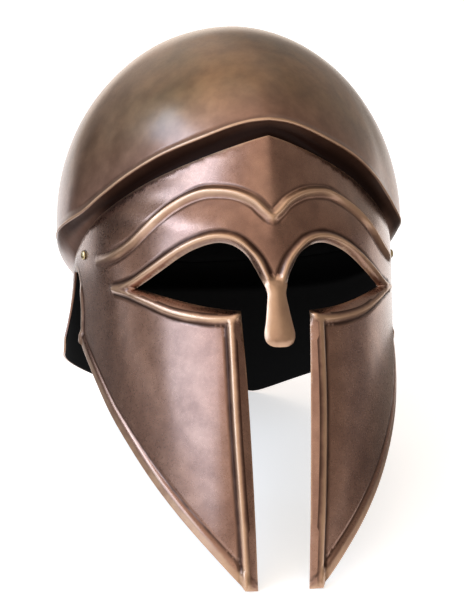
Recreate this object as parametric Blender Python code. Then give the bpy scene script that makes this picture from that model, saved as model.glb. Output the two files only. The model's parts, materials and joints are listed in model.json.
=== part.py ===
"""Open-faced helmet of the Italo-Corinthian kind, hammered from sheet and riveted at the temples.

All sizes are in metres. While it is modelled, the helmet stands in its own frame: the middle of the
head is the Z axis, the face looks along -Y, +X is the viewer's right, and heights are measured from
the tips of the cheek pieces. At the end an empty leans the whole helmet back until it rests on the
two tips and on the straight middle of the neck guard's rim.
"""
import math

import bmesh
import bpy
import numpy as np
from mathutils import Matrix, Vector
from mathutils.geometry import delaunay_2d_cdt

# Sheet and clearances
SHEET = 0.0012              # thickness of both sheets
PLATE_GAP = 0.0005          # between the face plate and the skull's wall behind it
SEAM_GAP = 0.0005           # between the face plate's top edge and the step above it
RIVET_GAP = 0.0003          # round a rivet's shank and under its heads

# Skull
SKULL_WIDTH = 0.2186        # across the ridge
SKULL_FRONT = 0.142         # from the head's middle to the widest front, if it went down to the equator
SKULL_BACK = 0.132          # from the head's middle to the back
DOME_RISE = 0.1238          # equator to crown
EQUATOR_DROP = 0.0545       # ridge's front point down to the equator
KEEL_POWER = 1.55           # plan of the dome's front: 2 is round, 1 is a wedge
KEEL_TURN = 50              # degrees from the front where the plan starts to turn round
KEEL_EASE = 45              # degrees that the turn takes
RIDGE_FALL = 0.0765         # how much lower the ridge is at the back than in front
LIP = 0.0018                # height of the rolled lip along the ridge
LIP_REACH = 0.35            # how far the lip stands out, as a share of its height

# Step under the ridge, down to the face plate and the neck guard
FRONT_STEP = 0.003          # how far it turns in, in front
SIDE_STEP = 0.0093          # the same at the sides
STEP_HOLLOW = 2.2           # 1 is straight, more is hollowed under the ridge in front
STEP_BULGE = 2.1            # 1 is straight, more is bulged at the back
STEP_TURN = 60              # degrees from the front where it starts to change
STEP_EASE = 45              # degrees that the change takes
BACK_STEP = 0.011           # the same at the back
STEP_HEIGHT = 0.010         # ridge to the face plate's top, in front
BACK_STEP_HEIGHT = 0.021    # the same at the back, down to the neck guard
FLANGE = 0.008              # how far the skull's wall reaches down behind the face plate
FLANGE_TURN = 12            # degrees before the rivet where the wall starts to reach lower
FLANGE_EASE = 7

# Neck guard
GUARD_START = 88.5          # degrees round from the front to its front edge
GUARD_FLARE = 0.0060        # how far its rim stands out from the wall
GUARD_CORNER_DROP = 0.1250  # face plate's top down to the rim's front corner
GUARD_BACK_DROP = 0.1582    # face plate's top down to the rim at the back
GUARD_CORNER_RADIUS = 0.009
REST_HALF_WIDTH = 0.038     # half of the rim's straight middle, which it rests on
GUARD_LEAD = 0.10           # share of the flare that the wall above the guard already has
GUARD_CURVE = 1.35          # 1 is a straight flare, more turns out lower down
GUARD_EASE = 6              # degrees over which the flare sets in
GUARD_BEFORE = 2.5          # degrees in front of GUARD_START where that begins
SEAM_CURVE = 2.6            # 1 is a straight seam from the plate to the back, more drops sooner
RIM_RISE = 0.17             # how much sooner than a straight line the rim rises from the back
RIM_SOFT = 0.05             # rounding where the rim leaves its straight middle

# Face plate
FACE_HEIGHT = 0.2495        # cheek tips to the plate's top
BROW_DROP = 0.0465          # plate's top down to the notch between the brows
BROW_SPAN = 0.128           # length of one brow, along the sheet from the middle
BROW_RISE = 0.0155          # top of the brow's arch above the notch
BROW_WIDTH = 0.0076
BROW_HEIGHT = 0.0025
STEM_LENGTH = 0.015         # web between the two brows, below the notch
EYE_DROP = 0.0975           # plate's top down to the eye's lower inner corner
EYE_INNER = 0.020           # from the middle to that corner
EYE_LENGTH = 0.064
EYE_RISE = 0.036
TIP_INNER = 0.0145          # from the middle to the cheek's inner edge, at the tip
CHEEK_RIDGE = 0.0255        # from the middle to the ridge down the cheek, at its top
NASAL_LENGTH = 0.0365       # where the eye ridges meet, down to the nasal's tip
NASAL_WIDTH = 0.0164
NASAL_NECK = 0.0104
NASAL_REACH = 0.0040        # how far its tip stands out
NASAL_EDGE_DEPTH = 0.0020   # how far its edges turn in
CORNER_DROP = 0.117         # plate's top down to the cheek's rear corner
TAB_DEPTH = 0.0040          # rivet tab's blunt rear end
RIDGE_HEIGHT = 0.0025       # crest of the ridge round the eye and down the cheek
RIDGE_FOOT = 0.0034         # crest to the ridge's outer foot
OVER_TURN = 0.0022          # how far the eye opening's upper edge turns in
UNDER_TURN = 0.0028         # the same at its lower edge
INNER_TURN = 0.0010         # the same down the cheek
BORDER_WIDTH = 0.0062       # raised band along the cheek's lower edge
BORDER_HEIGHT = 0.0012
EAR_BEAD_WIDTH = 0.0030
EAR_BEAD_HEIGHT = 0.0011
GROOVE = 0.0003             # hammered line beside the beads and ridges
TURN_BLEND = 0.0005         # width over which the depth of one edge changes to the next one's
RIM_HOLLOW = 1.15           # 1 is a plain quarter wave from the cut edge up to the crest
NASAL_ROUND = 0.0059        # how far in from its edges the nasal's bar is rounded
NASAL_HALF = 0.0102         # from the middle to the outer end of the eye ridges' meeting
NASAL_BLEND = 0.0060        # length over which the eye ridges turn into the nasal
BEAD_LENGTH = 0.036         # ear's bead, from the cheek's rear corner up
BEAD_FADE = 0.0080
BROW_FADE_FROM = 0.80       # share of the brow where its end starts to sink
BROW_FADE = 0.85            # share that it has sunk at its end
STEM_HEIGHT = 0.0020        # web between the brows, at the notch

# Rivets
RIVET_ARC = 0.148           # from the middle, along the sheet
RIVET_DROP = 0.0650         # plate's top down to the rivet
RIVET_HEAD = 0.0058         # width of the domed head
RIVET_DOME = 0.0019
RIVET_SHANK = 0.0030
RIVET_TAIL = 0.0052         # width of the hammered end inside
RIVET_TAIL_HEIGHT = 0.0010
RIVET_MARGIN = 0.010        # skull's wall below the rivet

# Heights worked out from the sizes above
TOP = FACE_HEIGHT
RIDGE_FRONT_HEIGHT = TOP + STEP_HEIGHT
EQUATOR = RIDGE_FRONT_HEIGHT - EQUATOR_DROP
RIDGE_FRONT_DEPTH = SKULL_FRONT * math.sqrt(1 - (EQUATOR_DROP / DOME_RISE) ** 2)
FACE_HALF_WIDTH = SKULL_WIDTH / 2 - SIDE_STEP
FACE_FRONT = RIDGE_FRONT_DEPTH - FRONT_STEP
WALL_BACK = SKULL_BACK - BACK_STEP
RIVET_HEIGHT = TOP - RIVET_DROP
EYE_BASE = TOP - EYE_DROP
CORNER_HEIGHT = TOP - CORNER_DROP
WALL_INSET = SHEET + PLATE_GAP

# Plan of the face at several heights
# height / FACE_HEIGHT, half width / FACE_HALF_WIDTH, depth / FACE_FRONT, power of the plan curve
FACE_SECTIONS = (
    (-0.04, 1.000, 1.264, 2.00),
    (0.20, 1.000, 1.256, 2.00),
    (0.43, 1.000, 1.216, 2.00),
    (0.60, 1.000, 1.152, 2.00),
    (0.72, 1.000, 1.104, 2.00),
    (0.80, 0.995, 1.080, 1.95),
    (0.865, 0.970, 1.056, 1.70),
    (0.92, 0.945, 1.032, 1.62),
    (1.00, 0.910, 1.000, 1.52),
    (1.05, 0.890, 0.984, 1.50),
)
# Face plate's top edge: along / FACE_SPAN, fall below the top / RIDGE_FALL
TOP_EDGE = (
    (0.000, 0.000), (0.052, 0.036), (0.104, 0.074), (0.207, 0.150), (0.311, 0.230), (0.415, 0.315),
    (0.518, 0.410), (0.622, 0.520), (0.726, 0.645), (0.819, 0.765), (0.881, 0.837), (0.915, 0.885),
)
# Ear notch, from the tab's end to the cheek's rear corner:
# along / FACE_SPAN, height between the corner (0) and the tab (1)
EAR_EDGE = (
    (0.915, 1.000), (0.884, 0.980), (0.857, 0.920), (0.833, 0.780), (0.819, 0.570), (0.818, 0.370),
    (0.829, 0.170), (0.845, 0.000),
)
# Cheek's lower edge, from the corner to the tip: along / FACE_SPAN, height / CORNER_HEIGHT
LOWER_EDGE = (
    (0.845, 1.000), (0.726, 0.853), (0.622, 0.709), (0.518, 0.574), (0.415, 0.434), (0.311, 0.294),
    (0.207, 0.151), (0.102, -0.004),
)
# Cheek's inner edge, from the tip up: share of the way from TIP_INNER to EYE_INNER, height / EYE_BASE
INNER_EDGE = ((0.00, 0.002), (0.15, 0.184), (0.37, 0.430), (0.64, 0.710), (1.00, 1.000))
# Eye opening: along / EYE_LENGTH from the inner corner, height / EYE_RISE above it
EYE_LOWER = ((0.00, 0.000), (0.31, 0.064), (0.62, 0.172), (0.84, 0.258), (1.09, 0.345))
EYE_UPPER = (
    (1.09, 0.345), (0.90, 0.495), (0.72, 0.660), (0.55, 0.830), (0.38, 0.965), (0.20, 1.045),
    (0.06, 1.010), (-0.06, 0.870), (-0.145, 0.640), (-0.203, 0.420),
)
# Crest of the ridge, in the same shares: under the eye from its inner corner, then over it
CREST_UNDER = (
    (0.020, -0.085), (0.094, -0.139), (0.3125, -0.133), (0.625, -0.042), (0.9375, 0.139),
    (1.170, 0.265), (1.375, 0.333),
)
CREST_OVER = (
    (1.375, 0.333), (1.250, 0.361), (1.094, 0.431), (0.9375, 0.556), (0.781, 0.700), (0.625, 0.853),
    (0.469, 0.992), (0.3125, 1.097), (0.156, 1.139), (0.000, 1.075), (-0.125, 0.875), (-0.1875, 0.722),
    (-0.247, 0.472),
)
# The same down the cheek: along / CHEEK_RIDGE, height / EYE_BASE
CREST_CHEEK = (
    (0.800, 0.000), (0.847, 0.184), (0.902, 0.330), (0.960, 0.520), (0.995, 0.720), (1.010, 0.967),
)
# Nasal: half width / half of NASAL_WIDTH, depth / NASAL_LENGTH below where the eye ridges meet
NASAL_TOP_SHARE = 0.431     # that meeting point, height / EYE_RISE above the eye's base
NASAL_EDGE = ((0.72, 0.40), (0.85, 0.62), (0.99, 0.81), (0.86, 0.93), (0.48, 0.99), (0.00, 1.00))
NASAL_NECK_DEPTH = 0.18     # depth of its narrowest place, as a share of NASAL_LENGTH
# Brow's middle line: along / BROW_SPAN, height / BROW_RISE above the notch
BROW_LINE = (
    (0.000, 0.00), (0.040, 0.30), (0.080, 0.62), (0.156, 0.90), (0.234, 0.99), (0.312, 0.97),
    (0.390, 0.77), (0.470, 0.45), (0.547, 0.03), (0.625, -0.42), (0.703, -0.84), (0.781, -1.13),
    (0.860, -1.32), (0.940, -1.42), (1.000, -1.48),
)
# Ridge of the skull: degrees from the front, fall / RIDGE_FALL
RIDGE_LINE = (
    (0, 0.000), (5, 0.015), (10, 0.052), (17.5, 0.124), (25, 0.190), (32, 0.255), (44, 0.386),
    (55, 0.516), (66, 0.647), (85, 0.752), (105, 0.830), (140, 0.948), (180, 1.000),
)

# Fineness of the meshes
EDGE_STEP = 0.0075
FIELD_STEP = 0.0125
CLOSEST = 0.0016
KEEL_ANGLES = (0, 2.2, 4.8, 8, 12, 17)      # degrees from the front of the skull's first columns
GUARD_ANGLES = (-2.5, 0, 1.4, 5)            # degrees past GUARD_START of those at the guard's front edge
SIDE_COLUMNS = 13
BACK_COLUMNS = 14
DOME_ROWS = 8
BROW_ROWS = (-1, 1, -0.5, 0.5)
BORDER_ROWS = (0.72, 1.2)
LIP_ROWS = (0.5, 1.0)
STEP_ROWS = (0.14, 0.38, 0.68, 1.0)
WALL_ROWS = (0.5, 1.0)
GUARD_ROWS = (0.28, 0.56, 0.83, 1.0)
CURVE_STEPS = 12
SEAM_STEPS = 24
ARC_STEPS = 160
RIVET_SIDES = 16

# Finishes: linear red, green, blue, then metallic and roughness
ANTIQUE_COPPER = ((0.235, 0.128, 0.080), 1.0, 0.34)
BRASS = ((0.480, 0.330, 0.120), 1.0, 0.30)


def clear_scene():
    for thing in list(bpy.data.objects):
        bpy.data.objects.remove(thing, do_unlink=True)


def make_material(name, finish):
    colour, metallic, roughness = finish
    material = bpy.data.materials.new(name)
    material.use_nodes = True
    shader = material.node_tree.nodes["Principled BSDF"]
    shader.inputs["Base Color"].default_value = (*colour, 1.0)
    shader.inputs["Metallic"].default_value = metallic
    shader.inputs["Roughness"].default_value = roughness
    return material


def add_object(name, bm, material, smooth_angle=35):
    mesh = bpy.data.meshes.new(name)
    bm.to_mesh(mesh)
    bm.free()
    mesh.materials.append(material)
    mesh.shade_smooth()
    mesh.set_sharp_from_angle(angle=math.radians(smooth_angle))
    thing = bpy.data.objects.new(name, mesh)
    bpy.context.collection.objects.link(thing)
    return thing


def smooth(share):
    share = np.clip(share, 0.0, 1.0)
    return share * share * (3 - 2 * share)


def bump(distance, half_width):
    """Rounded bead: 1 on its middle line and 0 from half_width outwards."""
    return np.cos(np.pi / 2 * np.clip(np.abs(distance) / half_width, 0, 1)) ** 2


def curve_through(points, step):
    """Even points, about a step apart, along a smooth curve through the given ones."""
    given = np.asarray(points, float)
    ends = np.vstack([2 * given[0] - given[1], given, 2 * given[-1] - given[-2]])
    share = np.linspace(0, 1, CURVE_STEPS, endpoint=False)[:, None]
    pieces = []
    for i in range(len(given) - 1):
        a, b, c, d = ends[i:i + 4]
        pieces.append(0.5 * (
            2 * b + (c - a) * share + (2 * a - 5 * b + 4 * c - d) * share ** 2
            + (3 * b - a - 3 * c + d) * share ** 3))
    line = np.vstack(pieces + [given[-1:]])
    run = np.concatenate([[0], np.cumsum(np.linalg.norm(np.diff(line, axis=0), axis=1))])
    even = np.linspace(0, run[-1], max(1, round(run[-1] / step)) + 1)
    return np.column_stack([np.interp(even, run, line[:, k]) for k in range(2)])


def table_curve(rows, column):
    """A smooth function through a table's rows, from its first column to the one named."""
    line = curve_through([(row[0], row[column]) for row in rows], 1e-3)
    return lambda value: np.interp(value, line[:, 0], line[:, 1])


face_width_share = table_curve(FACE_SECTIONS, 1)
face_depth_share = table_curve(FACE_SECTIONS, 2)
face_power = table_curve(FACE_SECTIONS, 3)
ridge_fall_share = table_curve([(angle / 180, fall) for angle, fall in RIDGE_LINE], 1)


def face_section(height):
    """Half width, depth and power of the face's plan at a height."""
    share = np.asarray(height, float) / FACE_HEIGHT
    return (FACE_HALF_WIDTH * face_width_share(share), FACE_FRONT * face_depth_share(share),
            face_power(share))


def face_form(along, height):
    """Point of the plain face form, by the length along the sheet from the middle and the height."""
    along = np.atleast_1d(np.asarray(along, float))
    height = np.atleast_1d(np.asarray(height, float))
    half_width, depth, power = (value[:, None] for value in face_section(height))
    turn = np.linspace(0, np.pi / 2, ARC_STEPS)[None, :]
    x = half_width * np.abs(np.sin(turn)) ** (2 / power)
    y = -depth * np.abs(np.cos(turn)) ** (2 / power)
    run = np.zeros_like(x)
    run[:, 1:] = np.cumsum(np.hypot(np.diff(x), np.diff(y)), axis=1)
    out = np.empty((len(along), 3))
    for i, length in enumerate(np.abs(along)):
        out[i, 0] = np.interp(length, run[i], x[i])
        out[i, 1] = np.interp(length, run[i], y[i]) + max(0.0, length - run[i, -1])
    out[:, 0] *= np.sign(along)
    out[:, 2] = height
    return out


def face_normal(along, height, reach=0.0006):
    across = face_form(along + reach, height) - face_form(along - reach, height)
    upward = face_form(along, height + reach) - face_form(along, height - reach)
    normal = np.cross(across, upward)
    return normal / np.linalg.norm(normal, axis=1)[:, None]


def half_span(height):
    """Length along the sheet from the middle to the side of the head."""
    half_width, depth, power = face_section(height)
    turn = np.linspace(0, np.pi / 2, ARC_STEPS)
    x = half_width * np.sin(turn) ** (2 / power)
    y = depth * np.abs(np.cos(turn)) ** (2 / power)
    return float(np.hypot(np.diff(x), np.diff(y)).sum())


FACE_SPAN = half_span(EYE_BASE)
NASAL_JOIN = EYE_BASE + NASAL_TOP_SHARE * EYE_RISE


def top_edge_height(fall):
    return TOP - RIDGE_FALL * np.asarray(fall, float)


def eye_points(rows):
    return [(EYE_INNER + a * EYE_LENGTH, EYE_BASE + b * EYE_RISE) for a, b in rows]


def face_outline(step):
    """The half plate's edges as named lines, clockwise from the middle of the top edge."""
    tab_height = float(top_edge_height(TOP_EDGE[-1][1])) - TAB_DEPTH
    top = [(a * FACE_SPAN, float(top_edge_height(b))) for a, b in TOP_EDGE]
    ear = [(a * FACE_SPAN, CORNER_HEIGHT + b * (tab_height - CORNER_HEIGHT)) for a, b in EAR_EDGE]
    lower = [(a * FACE_SPAN, b * CORNER_HEIGHT) for a, b in LOWER_EDGE]
    inner = [(TIP_INNER + a * (EYE_INNER - TIP_INNER), b * EYE_BASE) for a, b in INNER_EDGE]
    over = eye_points(EYE_UPPER)
    nasal = [over[-1], (NASAL_NECK / 2, NASAL_JOIN - NASAL_NECK_DEPTH * NASAL_LENGTH)]
    nasal += [(a * NASAL_WIDTH / 2, NASAL_JOIN - b * NASAL_LENGTH) for a, b in NASAL_EDGE]
    middle = [(0.0, NASAL_JOIN - NASAL_LENGTH), (0.0, NASAL_JOIN), (0.0, TOP)]
    return {
        "top": curve_through(top, step),
        "ear": curve_through(ear, step),
        "lower": curve_through(lower, step),
        "inner": curve_through(inner, step),
        "under": curve_through(eye_points(EYE_LOWER), step),
        "over": curve_through(over, step),
        "nasal": curve_through(nasal, step * 0.6),
        "middle": curve_through(middle, step * 0.8),
    }


def crest_lines(step):
    """Crest of the ridge up the cheek, under the eye and over it to the nasal's top."""
    cheek = [(a * CHEEK_RIDGE, b * EYE_BASE) for a, b in CREST_CHEEK]
    return {
        "cheek": curve_through(cheek, step),
        "under": curve_through(eye_points(CREST_UNDER), step),
        "over": curve_through(eye_points(CREST_OVER), step),
        "join": curve_through([eye_points(CREST_OVER)[-1], (0.0, NASAL_JOIN - RIDGE_FOOT)], step),
    }


def brow_line(step):
    notch = TOP - BROW_DROP
    return curve_through([(a * BROW_SPAN, notch + b * BROW_RISE) for a, b in BROW_LINE], step)


def distance_to(points, line):
    """Shortest distance from each point to a line of straight pieces, and how far along it is."""
    start, leg = line[:-1], np.diff(line, axis=0)
    length = np.maximum((leg ** 2).sum(1), 1e-18)
    offset = points[:, None, :] - start[None]
    share = np.clip((offset * leg[None]).sum(2) / length[None], 0, 1)
    apart = np.linalg.norm(offset - share[..., None] * leg[None], axis=2)
    nearest = apart.argmin(1)
    row = np.arange(len(points))
    return apart[row, nearest], (nearest + share[row, nearest]) / len(leg)


def inside_outline(points, outline):
    """Which points lie inside a closed outline, by counting the edges that a level ray crosses."""
    x, y = points[:, 0][:, None], points[:, 1][:, None]
    x0, y0 = outline[:, 0][None], outline[:, 1][None]
    x1, y1 = np.roll(outline[:, 0], -1)[None], np.roll(outline[:, 1], -1)[None]
    straddles = (y0 > y) != (y1 > y)
    with np.errstate(divide="ignore", invalid="ignore"):
        cross = x0 + (y - y0) * (x1 - x0) / (y1 - y0)
    return (straddles & (x < cross)).sum(1) % 2 == 1


def rim_relief(points, lines, crests):
    """Ridge round the eye and down the cheek, its turned-in edge, and the nasal's rounded bar."""
    turns = (("over", OVER_TURN), ("under", UNDER_TURN), ("inner", INNER_TURN), ("nasal", OVER_TURN))
    apart = np.column_stack([distance_to(points, lines[name])[0] for name, _ in turns])
    weight = 1 / (apart + TURN_BLEND) ** 4
    weight /= weight.sum(1)[:, None]
    turn_in = weight @ np.array([turn for _, turn in turns])
    edge = apart.min(1)
    crest = np.min([distance_to(points, line)[0] for line in crests.values()], axis=0)
    rise = np.sin(np.pi / 2 * edge / np.maximum(edge + crest, 1e-9)) ** RIM_HOLLOW
    inside = -turn_in + (turn_in + RIDGE_HEIGHT) * rise
    outside = RIDGE_HEIGHT * bump(crest, RIDGE_FOOT)
    outside -= GROOVE * bump(crest - RIDGE_FOOT, RIDGE_FOOT * 0.45)

    border = np.vstack([
        crests["cheek"], crests["under"][1:], crests["over"], crests["join"], [(0, 0)]])
    within = inside_outline(points, border) | (edge < CLOSEST)
    side = np.clip(apart[:, 3] / NASAL_ROUND, 0, 1)
    down = NASAL_JOIN - points[:, 1]
    bar = RIDGE_HEIGHT - NASAL_EDGE_DEPTH * (1 - side) ** 2
    bar += NASAL_REACH * smooth((down + NASAL_BLEND) / NASAL_LENGTH)
    share = smooth((down + NASAL_BLEND * 0.42) / NASAL_BLEND) * (points[:, 0] < NASAL_HALF)
    inside += (bar - inside) * share
    return np.where(within, inside, outside)


def band_relief(points, line, width, height):
    """Flat raised band along an edge, with a soft inner foot and a groove beside it."""
    apart, _ = distance_to(points, line)
    band = height * (1 - smooth((apart - width * 0.72) / (width * 0.45)))
    return band - GROOVE * bump(apart - width * 1.2, width * 0.2)


def brow_relief(points, line):
    apart, share = distance_to(points, line)
    fade = 1 - smooth((share - BROW_FADE_FROM) / (1 - BROW_FADE_FROM)) * BROW_FADE
    half = BROW_WIDTH / 2
    bead = BROW_HEIGHT * fade * bump(apart, half)
    groove = GROOVE * fade * bump(apart - half, half * 0.35)
    notch = TOP - BROW_DROP
    stem = np.array([(0.0, notch), (0.0, notch - STEM_LENGTH)])
    away, down = distance_to(points, stem)
    web = STEM_HEIGHT * (1 - down) * bump(away, half * (1.25 - 0.6 * down))
    return np.maximum(bead, web) - groove * (bead >= web)


def face_relief(points, lines, crests, brow):
    rim = rim_relief(points, lines, crests)
    border = band_relief(points, lines["lower"], BORDER_WIDTH, BORDER_HEIGHT)
    ear = band_relief(points, lines["ear"][1:], EAR_BEAD_WIDTH, EAR_BEAD_HEIGHT)
    clear = smooth(distance_to(points, lines["inner"])[0] / (CHEEK_RIDGE - TIP_INNER))
    tab = smooth((CORNER_HEIGHT + BEAD_LENGTH - points[:, 1]) / BEAD_FADE)
    return rim + border * clear + ear * tab + brow_relief(points, brow)


def face_points(points, relief):
    """Points of the face plate's outer side."""
    along, height = points[:, 0], points[:, 1]
    out = face_form(along, height) + face_normal(along, height) * relief[:, None]
    out[along == 0, 0] = 0
    return out


def beside(line, offset):
    """A line moved to its right by an offset."""
    way = np.gradient(line, axis=0)
    way /= np.linalg.norm(way, axis=1)[:, None]
    return line + offset * np.column_stack([way[:, 1], -way[:, 0]])


def face_pattern():
    """Flat half pattern of the plate as points and triangles, with rows along every ridge."""
    lines = face_outline(EDGE_STEP)
    crests = crest_lines(EDGE_STEP)
    brow = brow_line(EDGE_STEP)
    outline = np.vstack([line[:-1] for line in lines.values()])
    kept = [tuple(point) for point in outline]
    count = len(kept)
    links = [(i, (i + 1) % count) for i in range(count)]

    def add_row(row, margin, linked=True):
        good = inside_outline(row, outline) & (row[:, 0] > CLOSEST * 0.7)
        good &= distance_to(row, np.vstack([outline, outline[:1]]))[0] > margin
        last = None
        for point, usable in zip(row, good):
            here = np.asarray(kept)
            if not usable or np.hypot(*(here - point).T).min() < CLOSEST:
                last = None
                continue
            kept.append(tuple(point))
            if linked and last is not None:
                links.append((last, len(kept) - 1))
            last = len(kept) - 1

    ridges = [crests[name] for name in ("cheek", "under", "over")]
    for ridge in ridges:
        add_row(ridge, CLOSEST)
    add_row(beside(lines["nasal"], NASAL_WIDTH * 0.22), NASAL_WIDTH * 0.2)
    add_row(brow, CLOSEST)
    for ridge in ridges:
        add_row(beside(ridge, RIDGE_FOOT), CLOSEST)
        add_row(beside(ridge, RIDGE_FOOT * -0.8), CLOSEST)
    for share in BROW_ROWS:
        add_row(beside(brow, share * BROW_WIDTH / 2), CLOSEST)
    for share in BORDER_ROWS:
        add_row(beside(lines["lower"], share * BORDER_WIDTH), share * BORDER_WIDTH * 0.9)
    add_row(beside(lines["ear"], EAR_BEAD_WIDTH), EAR_BEAD_WIDTH * 0.9)
    half = EDGE_STEP / 2
    rows = int(FACE_HEIGHT / FIELD_STEP) + 2
    for i in range(rows):
        start = FIELD_STEP * (0.5 if i % 2 else 1.0)
        across = np.arange(start, FACE_SPAN, FIELD_STEP)
        level = np.column_stack([across, np.full_like(across, i * FIELD_STEP)])
        crowd = np.asarray(kept)
        near = np.linalg.norm(level[:, None] - crowd[None], axis=2).min(1)
        add_row(level[near > half * 1.35], half, linked=False)

    points, _, faces, _, _, _ = delaunay_2d_cdt(
        [Vector(point) for point in kept], links, [list(range(count))], 1, 1e-7)
    points = np.array([point[:] for point in points])
    faces = [face for face in faces if inside_outline(points[list(face)].mean(0)[None], outline)[0]]
    return points, faces, face_relief(points, lines, crests, brow)


def make_face_plate(material):
    """Forehead, brows, nasal and both cheek pieces in one embossed sheet."""
    points, faces, relief = face_pattern()
    bm = bmesh.new()
    verts = [bm.verts.new(place) for place in face_points(points, relief)]
    for face in faces:
        a, b, c = (points[i] for i in face)
        flat = (b[0] - a[0]) * (c[1] - a[1]) - (b[1] - a[1]) * (c[0] - a[0])
        corners = face if flat > 0 else face[::-1]
        bm.faces.new([verts[i] for i in corners])
    plate = add_object("face_plate", bm, material)
    mirror_and_thicken(plate)
    return plate


def mirror_and_thicken(thing):
    mirror = thing.modifiers.new("other half", "MIRROR")
    mirror.use_axis = (True, False, False)
    mirror.merge_threshold = 0.00001
    sheet = thing.modifiers.new("sheet", "SOLIDIFY")
    sheet.thickness = SHEET
    sheet.offset = -1.0
    sheet.use_even_offset = True
    sheet.use_quality_normals = True


def plan_radius(angle, half_width, depth, power):
    """Distance from the middle to a rounded plan curve, by the angle from the front."""
    across = np.abs(np.sin(angle) / half_width) ** power
    ahead = np.abs(np.cos(angle) / depth) ** power
    return (across + ahead) ** (-1 / power)


def dome_point(angle, height):
    """Point of the dome at an angle from the front; below the equator it goes straight down."""
    up = max(0.0, min(1.0, (height - EQUATOR) / DOME_RISE))
    lean = math.sqrt(1 - up * up)
    keel = KEEL_POWER + (2 - KEEL_POWER) * (1 - lean)
    power = keel + (2 - keel) * float(smooth((math.degrees(angle) - KEEL_TURN) / KEEL_EASE))
    depth = SKULL_FRONT if angle < math.pi / 2 else SKULL_BACK
    radius = lean * plan_radius(angle, SKULL_WIDTH / 2, depth, power)
    return np.array([radius * math.sin(angle), -radius * math.cos(angle), height])


def ridge_height(angle):
    return RIDGE_FRONT_HEIGHT - RIDGE_FALL * float(ridge_fall_share(angle / math.pi))


def wall_form(angle, height):
    half_width, depth, power = (float(value) for value in face_section(height))
    if angle > math.pi / 2:
        depth, power = WALL_BACK, 2.0
    radius = plan_radius(angle, half_width, depth, power)
    return np.array([radius * math.sin(angle), -radius * math.cos(angle), height])


def wall_point(angle, height, reach=0.0006):
    """Outer side of the skull's wall, which runs down behind the face plate."""
    turn = reach / FACE_HALF_WIDTH
    across = wall_form(angle + turn, height) - wall_form(angle - turn, height)
    if angle < turn:
        across = np.array([1.0, 0.0, 0.0])
    upward = wall_form(angle, height + reach) - wall_form(angle, height - reach)
    normal = np.cross(across, upward)
    return wall_form(angle, height) - normal / np.linalg.norm(normal) * WALL_INSET


def seam_curve():
    """Height of the step's foot by angle: just above the plate, then down to the neck guard."""
    edge = face_outline(EDGE_STEP / 3)["top"]
    places = face_form(edge[:, 0], edge[:, 1])
    angles = np.degrees(np.arctan2(places[:, 0], -places[:, 1]))
    ends = ridge_height(math.pi) - BACK_STEP_HEIGHT
    last = edge[-1, 1] + SEAM_GAP
    rear = np.linspace(angles[-1], 180, SEAM_STEPS)[1:]
    fall = 1 - (1 - (rear - angles[-1]) / (180 - angles[-1])) ** SEAM_CURVE
    heights = np.concatenate([edge[:, 1] + SEAM_GAP, last + (ends - last) * fall])
    angles = np.concatenate([angles, rear])
    return lambda angle: float(np.interp(math.degrees(angle), angles, heights))


def column_angles():
    """Angles of the skull's columns, closer together at the keel and at the guard's front edge."""
    corner = GUARD_START + np.array(GUARD_ANGLES)
    side = np.linspace(KEEL_ANGLES[-1], corner[0], SIDE_COLUMNS)[1:-1]
    back = np.linspace(corner[-1], 180, BACK_COLUMNS)[1:]
    return np.radians(np.concatenate([KEEL_ANGLES, side, corner, back]))


def guard_share(angle):
    """How far the guard's flare has set in, round the side."""
    return float(smooth((math.degrees(angle) - GUARD_START + GUARD_BEFORE) / GUARD_EASE))


def flange_foot(angle, seam):
    """Height of the wall's lower edge behind the plate, deeper where the rivet goes through."""
    rivet = face_form(RIVET_ARC, RIVET_HEIGHT)[0]
    rivet_angle = math.degrees(math.atan2(rivet[0], -rivet[1]))
    deep = float(smooth((math.degrees(angle) - rivet_angle + FLANGE_TURN) / FLANGE_EASE))
    behind = float(smooth((math.degrees(angle) - GUARD_START) / (180 - GUARD_START)))
    plain = seam - FLANGE
    low = min(RIVET_HEIGHT - RIVET_MARGIN, seam - FLANGE * 0.5)
    low += (seam - FLANGE - low) * behind
    return plain + (low - plain) * deep


def resting_slope():
    """Slope of the plane through the tips and the back of the rim."""
    tip_depth = float(face_section(0.0)[1])
    return (TOP - GUARD_BACK_DROP) / (WALL_BACK + GUARD_FLARE + tip_depth), tip_depth


def guard_rim(angle):
    """Point of the neck guard's rim; its middle lies in the plane that the helmet rests on."""
    radius = plan_radius(angle, FACE_HALF_WIDTH + GUARD_FLARE, WALL_BACK + GUARD_FLARE, 2.0)
    place = np.array([radius * math.sin(angle), -radius * math.cos(angle), 0.0])
    slope, tip_depth = resting_slope()
    start = math.radians(GUARD_START)
    straight = math.pi - math.asin(REST_HALF_WIDTH / (WALL_BACK + GUARD_FLARE))
    share = max(0.0, (straight - angle) / (straight - start))
    share = math.hypot(share * (1 + RIM_RISE * (1 - share)), RIM_SOFT) - RIM_SOFT
    plane = slope * (place[1] + tip_depth)
    front_plane = slope * (tip_depth - (FACE_HALF_WIDTH + GUARD_FLARE) * math.cos(start))
    place[2] = plane + share / (1 - RIM_SOFT) * (TOP - GUARD_CORNER_DROP - front_plane)
    left = GUARD_CORNER_RADIUS - max(0.0, angle - start) * radius
    if left > 0:
        place[2] += GUARD_CORNER_RADIUS - math.sqrt(max(0.0, GUARD_CORNER_RADIUS ** 2 - left ** 2))
    return place


def lip_point(edge, share):
    """Point round the small half-round lip that the dome's edge is rolled into."""
    outward = np.array([edge[0], edge[1], 0.0]) / math.hypot(edge[0], edge[1])
    drop = LIP * (1 - math.cos(math.pi * share)) / 2
    return edge + outward * LIP * LIP_REACH * math.sin(math.pi * share) - np.array([0, 0, drop])


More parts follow.
